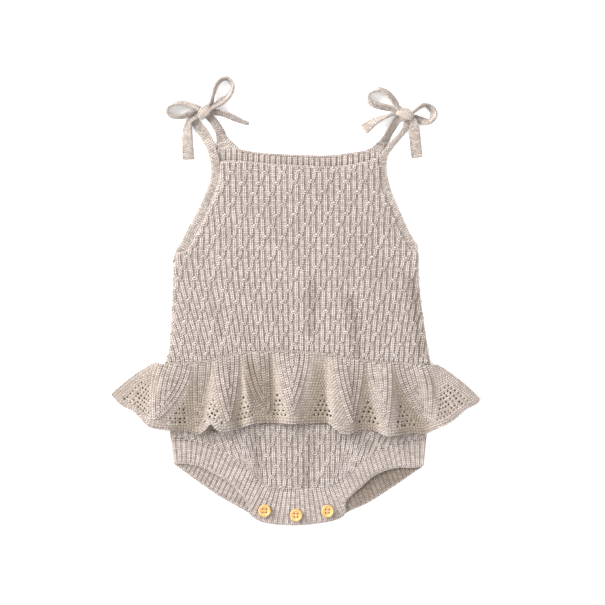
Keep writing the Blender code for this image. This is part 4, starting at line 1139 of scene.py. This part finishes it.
# Eyelets are cut along the grid, whose points round each are moved on to a circle. They are
# uneven in place and size, as in loose knitting.
holes = []
for wedge in range(0, len(strips), 2):
    first = np.flatnonzero(kinds == wedge)[0]
    count = (kinds == wedge).sum()
    most = EYELETS_WIDE[0 < wedge < len(strips) - 1]
    for number, depth in enumerate(np.arange(*EYELETS, -EYELET_PITCH / LACE_DEPTH)):
        row = int(round(depth * (len(depths) - 1)))
        wide = widths[wedge][row]
        fitting = min(int((wide - EYELET_MARGIN) / EYELET_PITCH), most - number)
        for place in range(fitting):
            share = 0.5 + (place - (fitting - 1) / 2) * EYELET_PITCH / wide
            holes.append((row, first + int(round(share * count))))
gone = np.zeros((len(depths) - 1, len(tops) - 1), dtype=bool)
for row, column in holes:
    gone[row - 1:row + 1, column - 1:column + 1] = True
    for skin in (outer, under):
        middle = skin[row, column, :2] + (0.3 * math.sin(7.1 * row + 3 * column),
                                          0.3 * math.cos(5.3 * column + row))
        wide = EYELET * (0.85 + 0.2 * math.sin(2.7 * row + 4.1 * column))
        for down, over in ((-1, -1), (-1, 0), (-1, 1), (0, -1), (0, 1), (1, -1), (1, 0), (1, 1)):
            spot = skin[row + down, column + over, :2] - middle
            skin[row + down, column + over, :2] = middle + spot / np.hypot(*spot) * wide

# Painted shade: deepest between the flutes but none there at the tips, some at the far left
# tip, and a little all over, less at the tips.
hem_x = under[-1, :, 0]
valley_shade = np.clip((13.5 - np.interp(hem_x, flutes[:, 1], flutes[:, 3])) / 4.0, 0, 1)
valley_shade *= np.clip((hem_x + 132) / 12, 0, 1) * np.clip((142 - hem_x) / 12, 0, 1)
valley_shade = np.maximum(valley_shade, 0.45 * np.clip((-142 - hem_x) / 10, 0, 1))
at_tip = np.clip((np.abs(under[..., 0]) - 135) / 12, 0, 1)
fold = 0.2 - 0.14 * at_tip + 0.66 * valley_shade[None, :] * rounded(depths * 1.6, 1.0)[:, None]
fold_tree = kdtree.KDTree(under.shape[0] * under.shape[1])
for number, spot in enumerate(under.reshape(-1, 3)):
    fold_tree.insert((spot[0], spot[1], 0), number)
fold_tree.balance()


def flute_shade(spots):
    """How much painted shade of the peplum's folds each place takes."""
    return np.array([fold.ravel()[fold_tree.find((x, y, 0))[1]] for x, y, _ in spots])


# Painted shade in the gutters between a fan's ribs, and a little in the wedges.
gutters = np.where(is_fan, 0.8 * (1 - rise) * fade, 0.15)
peplum_front = cloth_wall("peplum_front", outer, under, gone=gone,
                          fold=np.minimum(fold + gutters, 1),
                          rib=np.where(is_fan, 0.5 * relief / FAN_RELIEF, 0.6))

# Ribs run in from both sides of a fan and end on each other, the left ones over the right.
routes = []
fine = np.linspace(-0.015, FAN_BOTTOM, 90)
for strip in strips[1::2]:
    wide = strip_width(*strip, fine)
    for wale in range(2 * HALF_RIBS):
        at_left = wale < HALF_RIBS
        share = (wale % HALF_RIBS + 0.5) * FAN_RIB / wide
        inside = (wide > 2.2 * wale * FAN_RIB if at_left
                  else share <= 0.5 - 0.16 * FAN_RIB / wide)
        if inside.sum() >= 3:
            share = np.minimum(share[inside], 0.5) if at_left else 1 - share[inside]
            route = fan_line(*between(*strip, share), fine[inside])
            routes.append((route + (0, 0, LACE_KNIT + 0.4))[::-1])
fan_ribs = knit_wales("fan_ribs", routes, course=2.4, wale_width=0.0039,
                      yarn_thickness=0.0019, splay=RIB_SPLAY, fold_at=flute_shade)
spots, along = [], []
all_shares = np.linspace(0, 1, 41)
for number, strip in enumerate(strips):
    for depth in np.arange(0.0, 1.0, LACE_COURSE / LACE_DEPTH):
        if number % 2 and depth < FAN_BOTTOM + 0.02:
            continue
        run = run_along(fan_line(*between(*strip, all_shares), np.full(41, depth)))
        count = int(run[-1] / LACE_WALE)
        share = np.interp((np.arange(count) + 0.5) / max(1, count) * run[-1], run, all_shares)
        row, above = [fan_line(*between(*strip, share), np.full(count, level))
                      for level in (depth, depth - 0.01)]
        spots.append(row + (0, 0, LACE_KNIT - LACE_SUNK))
        along.append(above - row)
spots, along = np.concatenate(spots), np.concatenate(along)
clear = np.ones(len(spots), dtype=bool)
for row, column in holes:
    clear &= np.hypot(*(spots[:, :2] - outer[row, column, :2]).T) > EYELET_CLEAR
lace_purls = knit_stitches("lace_purls", spots[clear], along[clear], oatmeal_yarn,
                           purl_side=True, wale_width=0.0032, course_height=0.0021,
                           yarn_thickness=0.0019, fold_at=flute_shade)
hem_line = peplum_spot(np.linspace(-136.5, 137.6, 300), 0.988) + (0, 0, LACE_KNIT - 0.5)
hem_chain = knit_wales("lace_cast_off", [hem_line], course=CHAIN_COURSE, wale_width=0.0022,
                       yarn_thickness=0.0013, fold_at=flute_shade)

hem = curve_through(PEPLUM_BACK, 3.0)
tip_left, tip_right = hem[:, 0].argmin(), hem[:, 0].argmax()
upper = np.vstack([hem[:tip_left + 1][::-1], part_between(waist, -133, 134)
                   - (0, SEAM_GAP / 2), hem[tip_right:][::-1]])
lower = hem[tip_left:tip_right + 1]
across = np.linspace(hem[tip_left, 0] + 0.4, hem[tip_right, 0] - 0.4, 150)
high, low = [np.interp(across, *edge.T) for edge in (upper, lower)]
x, y = np.broadcast_arrays(across, low + (high - low) * np.linspace(0, 1, 26)[:, None])
thick = knit_thickness(edge_distance(x, y), LACE_KNIT)
peplum_back = cloth_wall("peplum_back", np.stack([x, y, thick], -1),
                         np.stack([x, y, 0 * x], -1), rib=0 * x + 0.4)
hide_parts("front_peplum")
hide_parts("back_peplum")


# ---------------------------------------------------------------- shoulder ties
# The ends of the straps are plain knitted tapes 10 mm wide, tied at each shoulder in a bow
# whose loops and tails stand partly on edge.
TAPES = {
    "back_strap_left": [(-67.0, 143.5, 0, 26.0, 0.0), (-68.4, 148.5, 0, 20.0, 0.0),
                        (-70.2, 153.0, 5, 14.6, 0.0), (-72.0, 158.0, 12, 11.0, 0.0),
                        (-73.9, 164.0, 20, 9.5, 0.0), (-77.8, 171.0, 20, 8.5, 0.0),
                        (-81.6, 176.2, 6, 7.4, 0.0), (-84.2, 178.8, 0, 6.6, 0.0)],
    "back_strap_right": [(76.0, 140.4, 0, 16.0, 0.0), (80.6, 146.4, 0, 12.0, 0.0),
                         (86.0, 154.2, 30, 9.0, 0.0),
                         (91.6, 164.0, 40, 8.5, 0.0), (96.6, 171.8, 20, 7.6, 0.0),
                         (99.4, 175.4, 0, 6.4, 0.0)],
    "loop_upper_left": [(-82.0, 191.6, 60, 6.0, 3.2), (-80.6, 198.0, 80, 8.0, 1.5),
                        (-78.0, 206.8, 80, 10.0, 0.0), (-74.5, 212.7, 78, 10.0, 0.0),
                        (-67.7, 216.1, 80, 10.0, 0.0), (-62.0, 212.0, 80, 10.0, 0.0),
                        (-61.4, 205.4, 76, 10.0, 0.0), (-65.3, 198.5, 66, 10.0, 0.6),
                        (-71.6, 193.2, 52, 9.0, 2.0), (-79.2, 188.4, 45, 6.5, 4.6)],
    "loop_side_left": [(-95.6, 187.4, 40, 6.0, 5.0), (-101.9, 189.3, 50, 9.0, 2.6),
                       (-110.6, 191.7, 58, 10.0, 0.6), (-118.4, 191.2, 70, 10.0, 0.0),
                       (-124.3, 186.8, 84, 10.0, 0.0), (-124.8, 181.9, 88, 10.0, 0.0),
                       (-120.4, 178.9, 82, 10.0, 0.0), (-112.6, 178.5, 76, 10.0, 0.0),
                       (-105.2, 180.6, 68, 9.0, 0.6), (-97.4, 183.4, 62, 6.0, 1.6)],
    "tail_side_left": [(-80.2, 182.9, 30, 5.0, 1.0), (-73.0, 182.4, 55, 8.0, 0.4),
                       (-65.8, 180.0, 60, 10.0, 0.0), (-54.0, 174.8, 72, 10.0, 0.0),
                       (-45.4, 171.6, 84, 9.0, 0.0)],
    "tail_down_left": [(-96.6, 178.8, 40, 5.5, 2.4), (-102.6, 174.2, 50, 8.0, 0.6),
                       (-105.3, 166.8, 35, 10.0, 0.0), (-105.3, 154.6, 12, 10.4, 0.0),
                       (-104.5, 137.0, 0, 11.5, 0.0)],
    "loop_side_right": [(99.2, 188.4, 50, 6.0, 4.6), (97.2, 192.0, 55, 9.0, 2.0),
                        (91.9, 199.3, 58, 10.0, 0.4), (85.5, 204.1, 62, 10.0, 0.0),
                        (79.0, 204.9, 70, 10.0, 0.0), (72.6, 201.6, 82, 10.0, 0.0),
                        (70.9, 196.1, 82, 10.0, 0.0), (74.1, 191.6, 72, 10.0, 0.0),
                        (80.6, 189.1, 66, 10.0, 0.0), (88.7, 187.5, 62, 9.0, 1.0),
                        (96.6, 185.6, 55, 6.0, 3.0)],
    "loop_back_right": [(115.8, 183.8, 80, 6.0, 3.4), (119.4, 186.6, 80, 9.0, 1.2),
                        (124.3, 189.8, 80, 10.0, 0.0), (129.2, 189.4, 74, 10.0, 0.0),
                        (134.2, 184.6, 58, 10.0, 0.0), (134.8, 178.6, 58, 10.0, 0.0),
                        (130.7, 174.0, 66, 10.0, 0.0), (125.6, 173.8, 44, 9.0, 0.0),
                        (120.8, 175.6, 12, 6.4, 0.0), (117.0, 178.0, 0, 5.0, 0.0)],
    "tail_side_right": [(96.6, 181.3, 70, 4.4, 0.4), (90.0, 179.4, 72, 7.0, 0.0),
                        (84.6, 177.4, 66, 9.4, 0.0), (77.4, 174.2, 50, 10.0, 0.0),
                        (70.8, 169.6, 25, 10.0, 0.0), (66.4, 166.2, 5, 10.0, 0.0)],
    "tail_down_right": [(115.2, 173.8, 25, 6.5, 3.4), (115.6, 170.2, 22, 9.0, 2.8),
                        (116.0, 162.0, 10, 10.6, 0.8), (117.2, 149.0, 0, 11.0, 0.0),
                        (118.6, 138.8, 0, 10.6, 0.0)],
}
# Knots: x, y, turn in degrees, length, width, height.
KNOTS = {"knot_left": (-88.4, 183.4, 48, 16.6, 11.6, 10.2),
         "knot_right": (106.8, 180.8, -20, 17.4, 13.0, 10.6)}
KNOT_REACH = 15.0              # a tape that ends this near to a knot's middle runs into it
KNOT_SHARE = 0.4               # as far as this share of the way to its middle
TAPE_WIDTH = 10.0
TAPE_STEP = 1.3                # from point to point along it
TAPE_WALES = 4                 # drawn coarser than the real six, so that they show
tape_turns = turns_of(14)


def oval(turn, half, thick):
    """A flat oval section with full round edges."""
    across, over = math.cos(turn), math.sin(turn)
    return (half * math.copysign(abs(across) ** 0.45, across),
            thick * math.copysign(abs(over) ** 0.8, over))


for tape_name, rows in TAPES.items():
    rows = list(rows)
    for end in (0, -1):
        for x, y, *_ in KNOTS.values():
            if math.hypot(rows[end][0] - x, rows[end][1] - y) < KNOT_REACH:
                inner = (x + (rows[end][0] - x) * KNOT_SHARE, y + (rows[end][1] - y) * KNOT_SHARE)
                rows.insert(0 if end == 0 else len(rows), inner + rows[end][2:])
                break
    path = curve_through(rows, TAPE_STEP)
    ways = np.gradient(path[:, :2], axis=0)
    ways /= np.linalg.norm(ways, axis=1)[:, None]
    tilt = np.radians(path[:, 2])
    across = np.column_stack([-ways[:, 1] * np.cos(tilt), ways[:, 0] * np.cos(tilt),
                              np.sin(tilt)])
    face = np.column_stack([ways[:, 1] * np.sin(tilt), -ways[:, 0] * np.sin(tilt),
                            np.cos(tilt)])
    thick = TAPE_KNIT / 2
    lowest = []
    for row, aside, up in zip(path, across, face):
        section = [oval(t, row[3] / 2, thick) for t in tape_turns]
        lowest.append(min((aside * u + up * v)[2] for u, v in section))
    middle = np.column_stack([path[:, :2], np.maximum(path[:, 4], 0) - np.array(lowest)])
    half = path[:, 3][:, None] / 2
    rings = np.stack([middle + across * (half * oval(t, 1, 1)[0])
                      + face * oval(t, 1, thick - 0.25)[1] for t in tape_turns], 1)
    tape = tube(tape_name + "_tape", rings, oatmeal_ground)
    routes, faces = [], []
    for wale in (np.arange(TAPE_WALES) + 0.5) / TAPE_WALES * 1.9 - 0.95:
        for side in (-1, 1):
            routes.append(middle + across * half * wale + face * side * (thick - 0.35))
            faces.append(face * side)
    for side in (-1, 1):
        routes.append(middle + across * side * (half - 0.4))
        faces.append(across * side)
    width = path[:, 3] / TAPE_WIDTH
    stitches = knit_wales(tape_name + "_stitches", routes, tape_yarn, faces, 2.4,
                          [width] * 2 * TAPE_WALES + [width * 0 + 0.8] * 2,
                          wale_width=0.0098 / TAPE_WALES, yarn_thickness=0.0016, splay=0.6)
    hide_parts(tape_name)
    length = float(run_along(middle)[-1])

# Each knot is a wrap of tape, drawn in at its ends, round a lump of the tapes inside.
WRAP_HALF = (4.6, 1.2)         # half width and half thickness of the wrap
WRAP_WALES = ((-3.0, 0.6), (0.0, 1.0), (3.0, 0.6))     # place across it, and out of it
up = np.array([0.0, 0.0, 1.0])
for knot_name, (x, y, turn, length, width, height) in KNOTS.items():
    turned = math.radians(turn)
    way = np.array([math.cos(turned), math.sin(turned), 0.0])
    aside = np.array([-math.sin(turned), math.cos(turned), 0.0])
    middle = np.array([x, y, height / 2])
    rings, centres, outward, drawn_in = [], [], [], []
    for t in turns_of(48):
        centres.append(middle + way * (length / 2 - 1) * math.cos(t)
                       + up * (height / 2 - 1) * math.sin(t))
        normal = way * math.cos(t) / length + up * math.sin(t) / height
        outward.append(normal / np.linalg.norm(normal))
        drawn_in.append(0.6 + 0.4 * abs(math.sin(t)))
        rings.append([centres[-1] + aside * WRAP_HALF[0] * drawn_in[-1] * math.cos(s)
                      + outward[-1] * WRAP_HALF[1] * math.sin(s) for s in tape_turns])
    wrap = tube(knot_name + "_wrap", rings, oatmeal_ground, closed=True)
    centres, outward, drawn_in = [np.array(part + part[:1])
                                  for part in (centres, outward, drawn_in)]
    routes = [centres + aside * u * drawn_in[:, None] + outward * v for u, v in WRAP_WALES]
    stitches = knit_wales(knot_name + "_stitches", routes, tape_yarn,
                          [outward] * len(routes), 2.5, [drawn_in] * len(routes),
                          wale_width=0.0031, yarn_thickness=0.0017, fold_at=0.15)
    rings = [[middle + aside * (width / 2) * math.cos(s)
              + way * (length / 2 - 2.4) * math.sin(s) * math.cos(t)
              + up * (height / 2 - 1.6) * math.sin(s) * math.sin(t) for t in tape_turns]
             for s in np.linspace(0.05, math.pi - 0.05, 14)]
    core = tube(knot_name + "_core", rings, oatmeal_ground)
    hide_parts(knot_name)


# ---------------------------------------------------------------- buttons
# Three turned wooden buttons with a raised rim and four holes are sewn through the crotch
# bands with pinkish thread.
BUTTONS = {"button_left": (-29.9, -204.9), "button_middle": (0.7, -209.3),
           "button_right": (31.3, -205.4)}
BUTTON_REST = 6.3              # height that its back lies at
BUTTON_RADIUS = 6.1
HOLE_SPREAD = 1.6              # of each hole's middle from the button's, in x and y
# Section from the middle of the face round to the middle of the back: share of the
# radius, height.
BUTTON_PROFILE = [(0.0, 2.25), (0.4, 2.25), (0.56, 2.32), (0.66, 2.6), (0.74, 2.9),
                  (0.81, 3.0), (0.88, 2.96), (0.95, 2.7), (0.99, 2.2), (1.0, 1.7),
                  (0.98, 1.1), (0.9, 0.4), (0.76, 0.08), (0.5, 0.0), (0.0, 0.0)]
HOLE_RADIUS = 0.0008           # in metres
DRILL_LENGTH = 0.009
THREAD_HALF = (0.42, 0.3)      # half width and half thickness of the thread

honey_wood, tree, shader = new_material("honey_varnished_wood", {
    "Roughness": 0.38, "Coat Weight": 0.15, "Coat Roughness": 0.25})
grain = add_node(tree, "ShaderNodeTexCoord").outputs["Object"]
drawn_out = add_node(tree, "ShaderNodeMapping", {"Vector": grain, "Scale": (900.0, 90.0, 300.0),
                                                 "Rotation": (0.0, 0.0, 0.5)})
figure = add_node(tree, "ShaderNodeTexNoise", {"Vector": drawn_out.outputs[0], "Scale": 1.0,
                                               "Detail": 4.0})
wood = colour_ramp(tree, figure.outputs["Fac"], 0.3, "#B98946", 0.7, "#D6AC6C")
tree.links.new(wood, shader.inputs["Base Color"])
sewing_thread = new_material("pinkish_brown_sewing_thread", {
    "Base Color": linear("#B08072"), "Roughness": 0.8})[0]


def shaped(name, shape, place):
    """An object from a bmesh, moved to a place in millimetres."""
    bmesh.ops.translate(shape, verts=shape.verts, vec=Vector(place) * MM)
    mesh = bpy.data.meshes.new(name)
    shape.to_mesh(mesh)
    shape.free()
    return add_object(name, mesh)


for button_name, (x, y) in BUTTONS.items():
    shape = bmesh.new()
    section = [shape.verts.new((share * BUTTON_RADIUS * MM, 0, rise * MM))
               for share, rise in BUTTON_PROFILE]
    edges = [shape.edges.new(pair) for pair in zip(section[:-1], section[1:])]
    bmesh.ops.spin(shape, geom=section + edges, cent=(0, 0, 0), axis=(0, 0, 1),
                   angle=2 * math.pi, steps=64, use_merge=True)
    bmesh.ops.remove_doubles(shape, verts=shape.verts, dist=1e-6)
    bmesh.ops.recalc_face_normals(shape, faces=shape.faces)
    blank = shaped(button_name + "_blank", shape, (x, y, BUTTON_REST))
    drills = []
    for side_x, side_y in ((-1, -1), (1, -1), (1, 1), (-1, 1)):
        shape = bmesh.new()
        bmesh.ops.create_cone(shape, cap_ends=True, segments=20, radius1=HOLE_RADIUS,
                              radius2=HOLE_RADIUS, depth=DRILL_LENGTH)
        drills.append(shaped("drill", shape, (x + side_x * HOLE_SPREAD, y + side_y * HOLE_SPREAD,
                                              BUTTON_REST + 1.5)))
        cut = blank.modifiers.new("hole", "BOOLEAN")
        cut.operation = "DIFFERENCE"
        cut.solver = "EXACT"
        cut.object = drills[-1]
    mesh = frozen(button_name + "_wood", blank, *drills)
    mesh.materials.clear()
    mesh.materials.append(honey_wood)
    mesh.shade_smooth()
    turned_button = worn_piece(button_name + "_wood", mesh)
    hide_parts(button_name)
    for side_y in (-1, 1):
        rings = []
        for t in np.linspace(-1, 1, 15):
            lift = BUTTON_REST + 2.5 - 2.2 * abs(t) ** 6
            place = np.array([x + HOLE_SPREAD * t, y + side_y * HOLE_SPREAD, lift])
            rings.append([place + (0, THREAD_HALF[0] * math.cos(s), THREAD_HALF[1] * math.sin(s))
                          for s in turns_of(8)])
        thread = tube(button_name + ("_thread_low", "_thread_high")[side_y > 0], rings,
                      sewing_thread)
